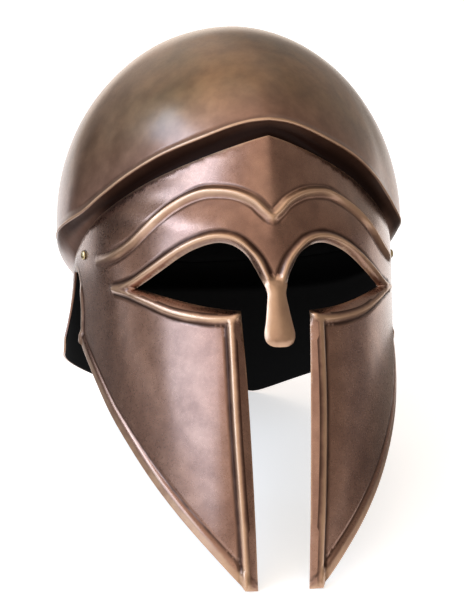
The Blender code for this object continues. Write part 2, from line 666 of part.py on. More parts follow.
def skull_column(angle, seam_height):
    """Points down one column of the skull, from below the crown to the wall's lower edge."""
    ridge = ridge_height(angle)
    crest = math.acos(max(0.0, min(1.0, (ridge - EQUATOR) / DOME_RISE)))
    below = max(0.0, EQUATOR - ridge)
    whole = crest + below / DOME_RISE
    column = []
    for i in range(1, DOME_ROWS + 1):
        turn = whole * i / DOME_ROWS
        if below == 0 or turn < crest:
            height = EQUATOR + DOME_RISE * math.cos(turn)
        else:
            height = EQUATOR - DOME_RISE * (turn - crest)
        column.append(dome_point(angle, height))
    edge = column[-1]
    column += [lip_point(edge, share) for share in LIP_ROWS]
    lip = column[-1]
    seam = seam_height(angle)
    foot = wall_point(angle, seam)
    roundness = float(smooth((math.degrees(angle) - STEP_TURN) / STEP_EASE))
    hollow = STEP_HOLLOW + (1 - STEP_HOLLOW) * roundness
    bulge = 1 + (STEP_BULGE - 1) * roundness
    for down in STEP_ROWS:
        inward = (1 - (1 - down) ** hollow) ** bulge
        place = lip + (foot - lip) * inward
        place[2] = lip[2] + (foot[2] - lip[2]) * down
        column.append(place)
    low = flange_foot(angle, seam)
    flare = guard_share(angle)
    rim = guard_rim(angle)
    for share in WALL_ROWS:
        place = wall_point(angle, seam + (low - seam) * share)
        place[:2] += (rim - place)[:2] * flare * share * GUARD_LEAD
        column.append(place)
    return column


def guard_column(angle, top):
    """Points down one column of the neck guard, below its top row."""
    rim = guard_rim(angle)
    column = []
    for share in GUARD_ROWS:
        place = top + (rim - top) * share
        place[:2] = top[:2] + (rim - top)[:2] * share ** GUARD_CURVE
        column.append(place)
    return column


def make_skull(material):
    """Dome, ridge, step, hidden wall and neck guard in one raised sheet."""
    seam_height = seam_curve()
    angles = column_angles()
    guard_from = int(np.argmin(np.abs(angles - math.radians(GUARD_START))))
    bm = bmesh.new()
    crown = bm.verts.new((0, 0, EQUATOR + DOME_RISE))
    columns = []
    for i, angle in enumerate(angles):
        column = skull_column(angle, seam_height)
        if i >= guard_from:
            column += guard_column(angle, column[-1])
        if i in (0, len(angles) - 1):
            for place in column:
                place[0] = 0
        columns.append([bm.verts.new(place) for place in column])
    for left, right in zip(columns[:-1], columns[1:]):
        bm.faces.new((crown, left[0], right[0]))
        for k in range(min(len(left), len(right)) - 1):
            bm.faces.new((left[k], left[k + 1], right[k + 1], right[k]))
    bmesh.ops.triangulate(bm, faces=bm.faces[:])
    skull = add_object("skull", bm, material, 40)
    mirror_and_thicken(skull)
    return skull


def rivet_frame(side):
    """Place of a rivet: its head's seat on the plate, with its axis along the plate's normal."""
    seat = Vector(face_form(RIVET_ARC, RIVET_HEIGHT)[0])
    normal = Vector(face_normal(np.array([RIVET_ARC]), np.array([RIVET_HEIGHT]))[0])
    seat.x *= side
    normal.x *= side
    turn = normal.to_track_quat("Z", "Y").to_matrix().to_4x4()
    return Matrix.Translation(seat) @ turn


def turned(name, profile, material, frame):
    """Solid turned from a profile of radius and height that starts and ends on its axis."""
    bm = bmesh.new()
    verts = [bm.verts.new((radius, 0, height)) for radius, height in profile]
    edges = [bm.edges.new(pair) for pair in zip(verts[:-1], verts[1:])]
    bmesh.ops.spin(bm, geom=verts + edges, cent=(0, 0, 0), axis=(0, 0, 1), dvec=(0, 0, 0),
                   angle=2 * math.pi, steps=RIVET_SIDES, use_duplicate=False)
    bmesh.ops.remove_doubles(bm, verts=bm.verts[:], dist=1e-6)
    bmesh.ops.recalc_face_normals(bm, faces=bm.faces[:])
    thing = add_object(name, bm, material, 50)
    thing.matrix_world = frame
    return thing


def make_rivet(name, side, material):
    """Domed head outside, shank through both sheets, hammered end inside."""
    stack = SHEET + PLATE_GAP + SHEET
    head, shank, tail = RIVET_HEAD / 2, RIVET_SHANK / 2, RIVET_TAIL / 2
    seat = RIVET_GAP
    end = -stack - RIVET_GAP
    profile = [(0, seat + RIVET_DOME)]
    for share in (0.36, 0.68, 0.92):
        rise = math.sqrt(1 - share ** 2)
        profile.append((head * share, seat + RIVET_DOME * rise))
    profile += [(head, seat + RIVET_DOME * 0.12), (head * 0.97, seat), (shank, seat), (shank, end)]
    profile += [(tail, end), (tail * 0.9, end - RIVET_TAIL_HEIGHT * 0.7)]
    profile += [(tail * 0.55, end - RIVET_TAIL_HEIGHT), (0, end - RIVET_TAIL_HEIGHT)]
    return turned(name, profile, material, rivet_frame(side))


def drill(name, side, material, targets):
    """Hole through both sheets, wider than the shank by a clearance."""
    radius = RIVET_SHANK / 2 + RIVET_GAP
    reach = 4 * SHEET + PLATE_GAP
    profile = [(0, reach), (radius, reach), (radius, -2 * reach), (0, -2 * reach)]
    cutter = turned(name, profile, material, rivet_frame(side))
    cutter.hide_render = True
    cutter.display_type = "WIRE"
    for target in targets:
        cut = target.modifiers.new(name, "BOOLEAN")
        cut.operation = "DIFFERENCE"
        cut.solver = "EXACT"
        cut.object = cutter
    return cutter


def evaluated_points(things):
    """World places of every vertex of the finished pieces."""
    bpy.context.view_layer.update()
    graph = bpy.context.evaluated_depsgraph_get()
    places = []
    for thing in things:
        final = thing.evaluated_get(graph)
        mesh = final.to_mesh()
        flat = np.empty(len(mesh.vertices) * 3)
        mesh.vertices.foreach_get("co", flat)
        turn = np.array(final.matrix_world)
        places.append(flat.reshape(-1, 3) @ turn[:3, :3].T + turn[:3, 3])
        final.to_mesh_clear()
    return np.vstack(places)


def set_down(pieces, others):
    """Lean the helmet back until its tips and the back of its rim share one level floor."""
    places = evaluated_points(pieces)
    front, back = places[places[:, 1] < 0], places[places[:, 1] >= 0]
    lean = 0.0
    for _ in range(8):
        level = np.array([0, -math.sin(lean), math.cos(lean)])
        low_front = front[(front @ level).argmin()]
        low_back = back[(back @ level).argmin()]
        lean = math.atan2(low_back[2] - low_front[2], low_back[1] - low_front[1])
    turn = Matrix.Rotation(-lean, 4, "X")
    turned_places = places @ np.array(turn.to_3x3()).T
    low, high = turned_places.min(0), turned_places.max(0)
    stance = bpy.data.objects.new("stance", None)
    bpy.context.collection.objects.link(stance)
    for thing in pieces + others:
        thing.parent = stance
    stance.rotation_euler = (-lean, 0, 0)
    stance.location = (-(low[0] + high[0]) / 2, -(low[1] + high[1]) / 2, -low[2])
    return stance


def main():
    clear_scene()
    copper = make_material("antique_copper", ANTIQUE_COPPER)
    brass = make_material("brass", BRASS)
    skull = make_skull(copper)
    plate = make_face_plate(copper)
    pieces, cutters = [skull, plate], []
    for side, word in ((-1, "left"), (1, "right")):
        pieces.append(make_rivet(f"rivet_{word}", side, brass))
        cutters.append(drill(f"hole_{word}", side, brass, (skull, plate)))
    set_down(pieces, cutters)


main()
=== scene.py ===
"""Looks of the open-faced helmet: sheet steel, coppered, darkened and rubbed back by hand.

All sizes are in metres. The forms follow the solids: while a piece is shaped, the helmet stands in its
own frame, with the middle of the head on the Z axis, the face towards -Y and heights measured from the
tips of the cheek pieces. The stance then leans each finished piece back to where its solid rests.
"""
import json
import math

import bmesh
import bpy
import numpy as np
from mathutils import Matrix, Vector, noise
from mathutils.geometry import delaunay_2d_cdt


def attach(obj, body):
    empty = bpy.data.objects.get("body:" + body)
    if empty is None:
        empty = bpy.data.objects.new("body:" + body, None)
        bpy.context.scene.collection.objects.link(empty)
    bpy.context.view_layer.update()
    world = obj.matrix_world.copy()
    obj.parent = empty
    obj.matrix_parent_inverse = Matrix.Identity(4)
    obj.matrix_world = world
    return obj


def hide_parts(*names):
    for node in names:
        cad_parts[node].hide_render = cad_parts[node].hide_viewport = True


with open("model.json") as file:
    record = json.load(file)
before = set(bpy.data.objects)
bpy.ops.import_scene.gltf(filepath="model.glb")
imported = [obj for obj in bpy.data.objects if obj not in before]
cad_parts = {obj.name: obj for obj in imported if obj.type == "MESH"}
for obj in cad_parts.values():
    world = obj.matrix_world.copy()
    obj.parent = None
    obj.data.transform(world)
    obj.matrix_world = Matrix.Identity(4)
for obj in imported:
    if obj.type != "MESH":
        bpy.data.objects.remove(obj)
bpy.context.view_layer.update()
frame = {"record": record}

# Sheet and clearances
SHEET = 0.0012              # thickness of both sheets
PLATE_GAP = 0.0005          # between the face plate and the skull's wall behind it
SEAM_GAP = 0.0005           # between the face plate's top edge and the step above it
RIVET_GAP = 0.0003          # round a rivet's shank and under its heads

# Skull
SKULL_WIDTH = 0.2186        # across the ridge
SKULL_FRONT = 0.142         # from the head's middle to the widest front, if it went down to the equator
SKULL_BACK = 0.132          # from the head's middle to the back
DOME_RISE = 0.1238          # equator to crown
EQUATOR_DROP = 0.0545       # ridge's front point down to the equator
KEEL_POWER = 1.55           # plan of the dome's front: 2 is round, 1 is a wedge
KEEL_TURN = 50              # degrees from the front where the plan starts to turn round
KEEL_EASE = 45              # degrees that the turn takes
RIDGE_FALL = 0.0765         # how much lower the ridge is at the back than in front
LIP = 0.0018                # height of the rolled lip along the ridge
LIP_REACH = 0.35            # how far the lip stands out, as a share of its height

# Step under the ridge, down to the face plate and the neck guard
FRONT_STEP = 0.003          # how far it turns in, in front
SIDE_STEP = 0.0093          # the same at the sides
BACK_STEP = 0.011           # the same at the back
STEP_HOLLOW = 2.2           # 1 is straight, more is hollowed under the ridge in front
STEP_BULGE = 2.1            # 1 is straight, more is bulged at the back
STEP_TURN = 60              # degrees from the front where it starts to change
STEP_EASE = 45              # degrees that the change takes
STEP_HEIGHT = 0.010         # ridge to the face plate's top, in front
BACK_STEP_HEIGHT = 0.021    # the same at the back, down to the neck guard
FLANGE = 0.008              # how far the skull's wall reaches down behind the face plate
FLANGE_TURN = 12            # degrees before the rivet where the wall starts to reach lower
FLANGE_EASE = 7             # degrees that this takes
FLANGE_LEAST = 0.5          # share of FLANGE that it keeps where the rivet is low

# Neck guard
GUARD_START = 88.5          # degrees round from the front to its front edge
GUARD_FLARE = 0.0060        # how far its rim stands out from the wall
GUARD_CORNER_DROP = 0.1250  # face plate's top down to the rim's front corner
GUARD_BACK_DROP = 0.1582    # face plate's top down to the rim at the back
GUARD_CORNER_RADIUS = 0.009
REST_HALF_WIDTH = 0.038     # half of the rim's straight middle, which it rests on
GUARD_LEAD = 0.10           # share of the flare that the wall above the guard already has
GUARD_CURVE = 1.35          # 1 is a straight flare, more turns out lower down
GUARD_EASE = 6              # degrees over which the flare sets in
GUARD_BEFORE = 2.5          # degrees in front of GUARD_START where that begins
SEAM_CURVE = 2.6            # 1 is a straight seam from the plate to the back, more drops sooner
RIM_RISE = 0.17             # how much sooner than a straight line the rim rises from the back
RIM_SOFT = 0.05             # rounding where the rim leaves its straight middle

# Face plate
FACE_HEIGHT = 0.2495        # cheek tips to the plate's top
BROW_DROP = 0.0465          # plate's top down to the notch between the brows
BROW_SPAN = 0.128           # length of one brow, along the sheet from the middle
BROW_RISE = 0.0155          # top of the brow's arch above the notch
BROW_WIDTH = 0.0076
BROW_HEIGHT = 0.0025
STEM_LENGTH = 0.015         # web between the two brows, below the notch
EYE_DROP = 0.0975           # plate's top down to the eye's lower inner corner
EYE_INNER = 0.020           # from the middle to that corner
EYE_LENGTH = 0.064
EYE_RISE = 0.036
TIP_INNER = 0.0145          # from the middle to the cheek's inner edge, at the tip
CHEEK_RIDGE = 0.0255        # from the middle to the ridge down the cheek, at its top
NASAL_LENGTH = 0.0365       # where the eye ridges meet, down to the nasal's tip
NASAL_WIDTH = 0.0164
NASAL_NECK = 0.0104
NASAL_REACH = 0.0040        # how far its tip stands out
NASAL_EDGE_DEPTH = 0.0020   # how far its edges turn in
CORNER_DROP = 0.117         # plate's top down to the cheek's rear corner
TAB_DEPTH = 0.0040          # rivet tab's blunt rear end
RIDGE_HEIGHT = 0.0025       # crest of the ridge round the eye and down the cheek
RIDGE_FOOT = 0.0034         # crest to the ridge's outer foot
OVER_TURN = 0.0022          # how far the eye opening's upper edge turns in
UNDER_TURN = 0.0028         # the same at its lower edge
INNER_TURN = 0.0010         # the same down the cheek
BORDER_WIDTH = 0.0062       # raised band along the cheek's lower edge
BORDER_HEIGHT = 0.0012
EAR_BEAD_WIDTH = 0.0030
EAR_BEAD_HEIGHT = 0.0011
GROOVE = 0.0003             # hammered line beside the beads and ridges
RIDGE_GROOVE = 0.45         # its half width beside a ridge, as a share of RIDGE_FOOT
BROW_GROOVE = 0.35          # the same beside a brow, as a share of half of BROW_WIDTH
BAND_FLAT = 0.72            # flat part of a raised band, as a share of its width
BAND_SOFT = 0.45            # soft foot beyond that
BAND_GROOVE = (1.2, 0.2)    # middle and half width of the groove beside it
TURN_BLEND = 0.0005         # width over which the depth of one edge changes to the next one's
RIM_HOLLOW = 1.15           # 1 is a plain quarter wave from the cut edge up to the crest
NASAL_ROUND = 0.0059        # how far in from its edges the nasal's bar is rounded
NASAL_HALF = 0.0102         # from the middle to the outer end of the eye ridges' meeting
NASAL_BLEND = 0.0060        # length over which the eye ridges turn into the nasal
NASAL_LEAD = 0.42           # share of that length above where they meet
BEAD_LENGTH = 0.036         # ear's bead, from the cheek's rear corner up
BEAD_FADE = 0.0080
BROW_FADE_FROM = 0.80       # share of the brow where its end starts to sink
BROW_FADE = 0.85            # share that it has sunk at its end
STEM_HEIGHT = 0.0020        # web between the brows, at the notch
STEM_WIDTH = (1.25, 0.6)    # its half width at the top and how much it loses, in half brow widths

# Rivets
RIVET_ARC = 0.148           # from the middle, along the sheet
RIVET_DROP = 0.0650         # plate's top down to the rivet
RIVET_HEAD = 0.0058         # width of the domed head
RIVET_DOME = 0.0019
RIVET_SHANK = 0.0030
RIVET_TAIL = 0.0052         # width of the hammered end inside
RIVET_TAIL_HEIGHT = 0.0010
RIVET_MARGIN = 0.010        # skull's wall below the rivet
RIVET_DOME_TURN = 84        # degrees of the dome's arc
RIVET_DOME_STEPS = 8
RIVET_FOOT = 0.97           # width of the head's seat, as a share of the head's
# Hammered end: radius / half of RIVET_TAIL, depth / RIVET_TAIL_HEIGHT
RIVET_TAIL_PROFILE = ((1.0, 0.0), (0.9, 0.7), (0.55, 1.0), (0.0, 1.0))

# Heights worked out from the sizes above
TOP = FACE_HEIGHT
RIDGE_FRONT_HEIGHT = TOP + STEP_HEIGHT
EQUATOR = RIDGE_FRONT_HEIGHT - EQUATOR_DROP
RIDGE_FRONT_DEPTH = SKULL_FRONT * math.sqrt(1 - (EQUATOR_DROP / DOME_RISE) ** 2)
FACE_HALF_WIDTH = SKULL_WIDTH / 2 - SIDE_STEP
FACE_FRONT = RIDGE_FRONT_DEPTH - FRONT_STEP
WALL_BACK = SKULL_BACK - BACK_STEP
RIVET_HEIGHT = TOP - RIVET_DROP
EYE_BASE = TOP - EYE_DROP
CORNER_HEIGHT = TOP - CORNER_DROP
WALL_INSET = SHEET + PLATE_GAP

# Plan of the face at several heights
# height / FACE_HEIGHT, half width / FACE_HALF_WIDTH, depth / FACE_FRONT, power of the plan curve
FACE_SECTIONS = (
    (-0.04, 1.000, 1.264, 2.00),
    (0.20, 1.000, 1.256, 2.00),
    (0.43, 1.000, 1.216, 2.00),
    (0.60, 1.000, 1.152, 2.00),
    (0.72, 1.000, 1.104, 2.00),
    (0.80, 0.995, 1.080, 1.95),
    (0.865, 0.970, 1.056, 1.70),
    (0.92, 0.945, 1.032, 1.62),
    (1.00, 0.910, 1.000, 1.52),
    (1.05, 0.890, 0.984, 1.50),
)
# Face plate's top edge: along / FACE_SPAN, fall below the top / RIDGE_FALL
TOP_EDGE = (
    (0.000, 0.000), (0.052, 0.036), (0.104, 0.074), (0.207, 0.150), (0.311, 0.230), (0.415, 0.315),
    (0.518, 0.410), (0.622, 0.520), (0.726, 0.645), (0.819, 0.765), (0.881, 0.837), (0.915, 0.885),
)
# Ear notch, from the tab's end to the cheek's rear corner:
# along / FACE_SPAN, height between the corner (0) and the tab (1)
EAR_EDGE = (
    (0.915, 1.000), (0.884, 0.980), (0.857, 0.920), (0.833, 0.780), (0.819, 0.570), (0.818, 0.370),
    (0.829, 0.170), (0.845, 0.000),
)
# Cheek's lower edge, from the corner to the tip: along / FACE_SPAN, height / CORNER_HEIGHT
LOWER_EDGE = (
    (0.845, 1.000), (0.726, 0.853), (0.622, 0.709), (0.518, 0.574), (0.415, 0.434), (0.311, 0.294),
    (0.207, 0.151), (0.102, -0.004),
)
# Cheek's inner edge, from the tip up: share of the way from TIP_INNER to EYE_INNER, height / EYE_BASE
INNER_EDGE = ((0.00, 0.002), (0.15, 0.184), (0.37, 0.430), (0.64, 0.710), (1.00, 1.000))
# Eye opening: along / EYE_LENGTH from the inner corner, height / EYE_RISE above it
EYE_LOWER = ((0.00, 0.000), (0.31, 0.064), (0.62, 0.172), (0.84, 0.258), (1.09, 0.345))
EYE_UPPER = (
    (1.09, 0.345), (0.90, 0.495), (0.72, 0.660), (0.55, 0.830), (0.38, 0.965), (0.20, 1.045),
    (0.06, 1.010), (-0.06, 0.870), (-0.145, 0.640), (-0.203, 0.420),
)
# Crest of the ridge, in the same shares: under the eye from its inner corner, then over it
CREST_UNDER = (
    (0.020, -0.085), (0.094, -0.139), (0.3125, -0.133), (0.625, -0.042), (0.9375, 0.139),
    (1.170, 0.265), (1.375, 0.333),
)
CREST_OVER = (
    (1.375, 0.333), (1.250, 0.361), (1.094, 0.431), (0.9375, 0.556), (0.781, 0.700), (0.625, 0.853),
    (0.469, 0.992), (0.3125, 1.097), (0.156, 1.139), (0.000, 1.075), (-0.125, 0.875), (-0.1875, 0.722),
    (-0.247, 0.472),
)
# The same down the cheek: along / CHEEK_RIDGE, height / EYE_BASE
CREST_CHEEK = (
    (0.800, 0.000), (0.847, 0.184), (0.902, 0.330), (0.960, 0.520), (0.995, 0.720), (1.010, 0.967),
)
RIDGES = ("cheek", "under", "over")
CUT_EDGES = ("inner", "under", "over", "nasal")
# Nasal: half width / half of NASAL_WIDTH, depth / NASAL_LENGTH below where the eye ridges meet
NASAL_TOP_SHARE = 0.431     # that meeting point, height / EYE_RISE above the eye's base
NASAL_EDGE = ((0.72, 0.40), (0.85, 0.62), (0.99, 0.81), (0.86, 0.93), (0.48, 0.99), (0.00, 1.00))
NASAL_NECK_DEPTH = 0.18     # depth of its narrowest place, as a share of NASAL_LENGTH
# Brow's middle line: along / BROW_SPAN, height / BROW_RISE above the notch
BROW_LINE = (
    (0.000, 0.00), (0.040, 0.30), (0.080, 0.62), (0.156, 0.90), (0.234, 0.99), (0.312, 0.97),
    (0.390, 0.77), (0.470, 0.45), (0.547, 0.03), (0.625, -0.42), (0.703, -0.84), (0.781, -1.13),
    (0.860, -1.32), (0.940, -1.42), (1.000, -1.48),
)
# Ridge of the skull: degrees from the front, fall / RIDGE_FALL
RIDGE_LINE = (
    (0, 0.000), (5, 0.015), (10, 0.052), (17.5, 0.124), (25, 0.190), (32, 0.255), (44, 0.386),
    (55, 0.516), (66, 0.647), (85, 0.752), (105, 0.830), (140, 0.948), (180, 1.000),
)

# Fineness of the meshes
OUTLINE_STEP = 0.0020
NASAL_FINER = 0.6           # step along the nasal's edge, as a share of the others'
MIDDLE_FINER = 0.8          # the same along the middle line
ROW_STEP = 0.0024           # along a ridge
ROW_GAP = 0.0008            # between the rows beside a ridge
RIDGE_ROWS = 12             # on each side of a ridge's crest
NASAL_ROWS = 4              # in from the nasal's edge
BORDER_ROWS = 12            # in from the cheek's lower edge
EAR_ROWS = 7                # in from the ear notch
BROW_ROWS = 9               # on each side of the brow's middle line
BROW_PARTS = 11             # that a brow's width is split into by them
ROW_MARGIN = 0.6            # nearest to the outline, as a share of ROW_GAP
ROW_APART = 0.7             # nearest to another point, in the same share
BROW_APART = 0.55           # the same beside a brow
INWARD_MARGIN = 0.9         # nearest to the outline in a row beside it, as a share of its distance
MIDDLE_MARGIN = 0.6         # nearest to the middle line, as a share of the distance between points
FIELD_STEP = 0.0040         # between the points away from every ridge
FIELD_PACE = 0.87           # height of an even triangle, by its side
FIELD_MARGIN = 0.4          # nearest to the outline, as a share of FIELD_STEP
FIELD_APART = 0.55          # nearest to another point, in the same share
CLOSEST = 0.0005
NORMAL_REACH = 0.0006       # how far round a point its normal is measured
DOME_ROWS = 46
LIP_ROWS = 8
STEP_ROWS = 14
STEP_PACE = 1.3             # 1 is even rows down the step, more is closer under the lip
WALL_ROWS = 4
GUARD_ROWS = 26
KEEL_SPAN = 17              # degrees from the front with close columns
KEEL_COLUMNS = 16
SIDE_COLUMNS = 44
CORNER_LEAD = 3             # degrees before the guard's front edge where the side's columns end
CORNER_SPAN = 6             # degrees past it with close columns
CORNER_COLUMNS = 8
BACK_COLUMNS = 52
CURVE_STEPS = 12
SEAM_STEPS = 24
ARC_STEPS = 240
RIVET_SIDES = 40
MERGE = 0.00001             # points of the two halves that are this near become one
EDGE_ROUND = 0.00035        # rounding of the cut edges
EDGE_ANGLE = 80             # degrees from which an edge counts as cut
SMOOTH_ANGLE = 75           # degrees up to which a surface is shaded smooth

# Hammered unevenness: depth and size of its waves, then how softly it starts
FACE_WAVE = (0.00022, 0.034)
FACE_WAVE_FADE = 0.02       # below the part that is lapped under the step
SKULL_WAVE = (0.00035, 0.040)
DOME_WAVE_FADE = 0.15       # share of the dome above its lip
GUARD_WAVE_FADE = 0.2       # share of the guard below its top

# Rubbed and dark lines: the mask's value on the line, and the distance over which it rises by one
CREST_RUB = (0.0, 0.0024)
BORDER_RUB = (0.35, 0.0040)
EAR_RUB = (0.35, 0.0025)
TOP_RUB = (0.30, 0.0020)    # plate's top edge
CUT_RUB = (0.45, 0.0020)    # edges of the eye, the nasal and the cheek's inner side
LIP_RUB = (0.0, 0.0016)
RIM_RUB = (0.45, 0.0025)    # neck guard's rim
BROW_END_RUB = 0.5          # less rub at the brow's end
FOOT_DARK = (0.0, 0.0022)   # outer foot of a ridge
FOOT_PLACE = 0.95           # its place, as a share of RIDGE_FOOT
BROW_DARK = (0.3, 0.0018)
BROW_DARK_PLACE = 0.56      # share of BROW_WIDTH
BROW_END_DARK = 0.4         # less dark at the brow's end
BORDER_DARK = (0.2, 0.0016)
BORDER_DARK_PLACE = 1.15    # share of BORDER_WIDTH
EAR_DARK = (0.0, 0.0014)
EAR_DARK_PLACE = 1.2        # share of EAR_BEAD_WIDTH
EAR_FADE = 0.010            # height below the rivet over which the ear's lines set in
NASAL_RUB = 0.35            # mask's value all over the nasal
NASAL_RUB_SIDE = 0.62       # how far from the middle that goes, as a share of NASAL_WIDTH
NASAL_RUB_TOP = 0.003       # and how far above where the eye ridges meet
FAR = 2.0                   # highest value of both masks, away from every line

# Patina and painted shade round the skull: degrees from the front where a change starts, and how many it
# takes
STEP_FADE = (72, 26)        # painted shade over patina in the step under the ridge, less of it behind
STEP_DARK = 0.80            # painted shade and patina at the step's top
STEP_FULL = 0.5             # share of the way down it from where the painted shade and patina are full
BACK_DARK = 0.12            # share of that at the back
SIDE_LIT_FADE = (54, 18)       # less painted shade on the step's foot at the sides, where light reaches it
SIDE_LIT_DOWN = (0.2, 0.4)     # share of the step above that less shaded part, and how softly it starts
SIDE_LIT_SHARE = 0.9           # share of the painted shade and patina that is taken off there
WALL_FADE = (55, 25)        # painted shade on the hidden wall behind the plate
WALL_DARK = (0.80, 0.12)    # in front and behind
GUARD_DARK = 0.2
GOLDEN_FADE = (20, 60)      # golden tint of the dome's front: its middle and its reach, in degrees
GOLDEN_TOP = 0.2            # share of the dome down to where the tint is full
GOLDEN_FOOT = (0.75, 0.3)   # share of the dome where it ends, and how softly

# Photograph's camera, in the helmet's own frame
CAMERA_YAW = 10.72          # degrees towards the viewer's left
CAMERA_PITCH = 0.75
CAMERA_ROLL = -0.47
CAMERA_DISTANCE = 0.946
CAMERA_AIM = (-0.00341, 0.1561)
CAMERA_MIDDLE = -0.022      # depth of the point that it turns about
CAMERA_LENS = 116.71        # millimetres
CAMERA_SENSOR = 36          # millimetres wide
CAMERA_REACH = 60           # metres that it sees

# Studio, seen from the helmet's middle: azimuth in degrees from the face towards its right side as
# it is seen, elevation, half of what each thing spans across and up, and a light's radiance
MIDDLE_HEIGHT = 0.6         # share of FACE_HEIGHT
CARD_CORNERS = ((-1, -1), (1, -1), (1, 1), (-1, 1))
CARD_COLOURS = {"black_card": "#3c3634", "grey_card": "#8a8480"}
FLOOR_RADIUS = 14.0
FLOOR_DROP = 0.0002         # floor below the tips, so that they don't cut into it
FLOOR_CARD_HEIGHT = 0.001
SOFTBOX_DISTANCE = 2.5
FLAG_DISTANCE = 0.7
SOFTBOXES = (
    ("key", -62, 12, (18, 18), 3.9, "#c3deff"),
    ("high_key", -79, 34, (20, 6), 7.0, "#c9e2ff"),
)
FLAGS = (
    ("left_flag", "black_card", -120, 12, (11, 22)),
    ("right_flag", "grey_card", 84, 2, (16, 11)),
)
# Grey cards lying beside the helmet: middle and half size
FLOOR_CARDS = (
    ("left_floor_card", (-0.75, 0.10), (0.56, 0.34)),
    ("right_floor_card", (0.72, -0.05), (0.56, 0.30)),
)
# Patches of the room: azimuth, elevation, degrees to their full and to their outer edge, radiance
ROOM_PATCHES = (
    (0, 90, 15, 50, 0.70),
    (-52, 60, 8, 38, 1.45),
    (-22, 21, 15, 50, 1.25),
    (-155, 52, 8, 30, 0.90),
    (180, 6, 14, 34, 1.80),
)
ROOM_WALLS = 0.36           # radiance of the walls elsewhere
ROOM_COLOUR = "#fff0e2"


def smooth(share):
    share = np.clip(share, 0.0, 1.0)
    return share * share * (3 - 2 * share)


def rising(value, start, length):
    """From 0 at the start to 1 a length further on."""
    return smooth((value - start) / length)


def bump(distance, half_width):
    """Rounded bead: 1 on its middle line and 0 from half_width outwards."""
    return np.cos(np.pi / 2 * np.clip(np.abs(distance) / half_width, 0, 1)) ** 2


def curve_through(points, step):
    """Even points, about a step apart, along a smooth curve through the given ones."""
    given = np.asarray(points, float)
    ends = np.vstack([2 * given[0] - given[1], given, 2 * given[-1] - given[-2]])
    share = np.linspace(0, 1, CURVE_STEPS, endpoint=False)[:, None]
    pieces = []
    for i in range(len(given) - 1):
        a, b, c, d = ends[i:i + 4]
        pieces.append(0.5 * (
            2 * b + (c - a) * share + (2 * a - 5 * b + 4 * c - d) * share ** 2
            + (3 * b - a - 3 * c + d) * share ** 3))
    line = np.vstack(pieces + [given[-1:]])
    run = np.concatenate([[0], np.cumsum(np.linalg.norm(np.diff(line, axis=0), axis=1))])
    even = np.linspace(0, run[-1], max(1, round(run[-1] / step)) + 1)
    return np.column_stack([np.interp(even, run, line[:, k]) for k in range(2)])


def table_curve(rows, column):
    """A smooth function through a table's rows, from its first column to the one named."""
    line = curve_through([(row[0], row[column]) for row in rows], 1e-3)
    return lambda value: np.interp(value, line[:, 0], line[:, 1])


face_width_share = table_curve(FACE_SECTIONS, 1)
face_depth_share = table_curve(FACE_SECTIONS, 2)
face_power = table_curve(FACE_SECTIONS, 3)
ridge_fall_share = table_curve([(angle / 180, fall) for angle, fall in RIDGE_LINE], 1)


def face_section(height):
    """Half width, depth and power of the face's plan at a height."""
    share = np.asarray(height, float) / FACE_HEIGHT
    return (FACE_HALF_WIDTH * face_width_share(share), FACE_FRONT * face_depth_share(share),
            face_power(share))


def face_form(along, height):
    """Point of the plain face form, by the length along the sheet from the middle and the height."""
    along = np.atleast_1d(np.asarray(along, float))
    height = np.atleast_1d(np.asarray(height, float))
    half_width, depth, power = (value[:, None] for value in face_section(height))
    turn = np.linspace(0, np.pi / 2, ARC_STEPS)[None, :]
    x = half_width * np.abs(np.sin(turn)) ** (2 / power)
    y = -depth * np.abs(np.cos(turn)) ** (2 / power)
    run = np.zeros_like(x)
    run[:, 1:] = np.cumsum(np.hypot(np.diff(x), np.diff(y)), axis=1)
    out = np.empty((len(along), 3))
    for i, length in enumerate(np.abs(along)):
        out[i, 0] = np.interp(length, run[i], x[i])
        out[i, 1] = np.interp(length, run[i], y[i]) + max(0.0, length - run[i, -1])
    out[:, 0] *= np.sign(along)
    out[:, 2] = height
    return out


def face_normal(along, height):
    across = face_form(along + NORMAL_REACH, height) - face_form(along - NORMAL_REACH, height)
    upward = face_form(along, height + NORMAL_REACH) - face_form(along, height - NORMAL_REACH)
    normal = np.cross(across, upward)
    return normal / np.linalg.norm(normal, axis=1)[:, None]


def half_span(height):
    """Length along the sheet from the middle to the side of the head."""
    half_width, depth, power = face_section(height)
    turn = np.linspace(0, np.pi / 2, ARC_STEPS)
    x = half_width * np.sin(turn) ** (2 / power)
    y = depth * np.abs(np.cos(turn)) ** (2 / power)
    return float(np.hypot(np.diff(x), np.diff(y)).sum())


FACE_SPAN = half_span(EYE_BASE)
NASAL_JOIN = EYE_BASE + NASAL_TOP_SHARE * EYE_RISE


def top_edge_height(fall):
    return TOP - RIDGE_FALL * np.asarray(fall, float)


def eye_points(rows):
    return [(EYE_INNER + a * EYE_LENGTH, EYE_BASE + b * EYE_RISE) for a, b in rows]


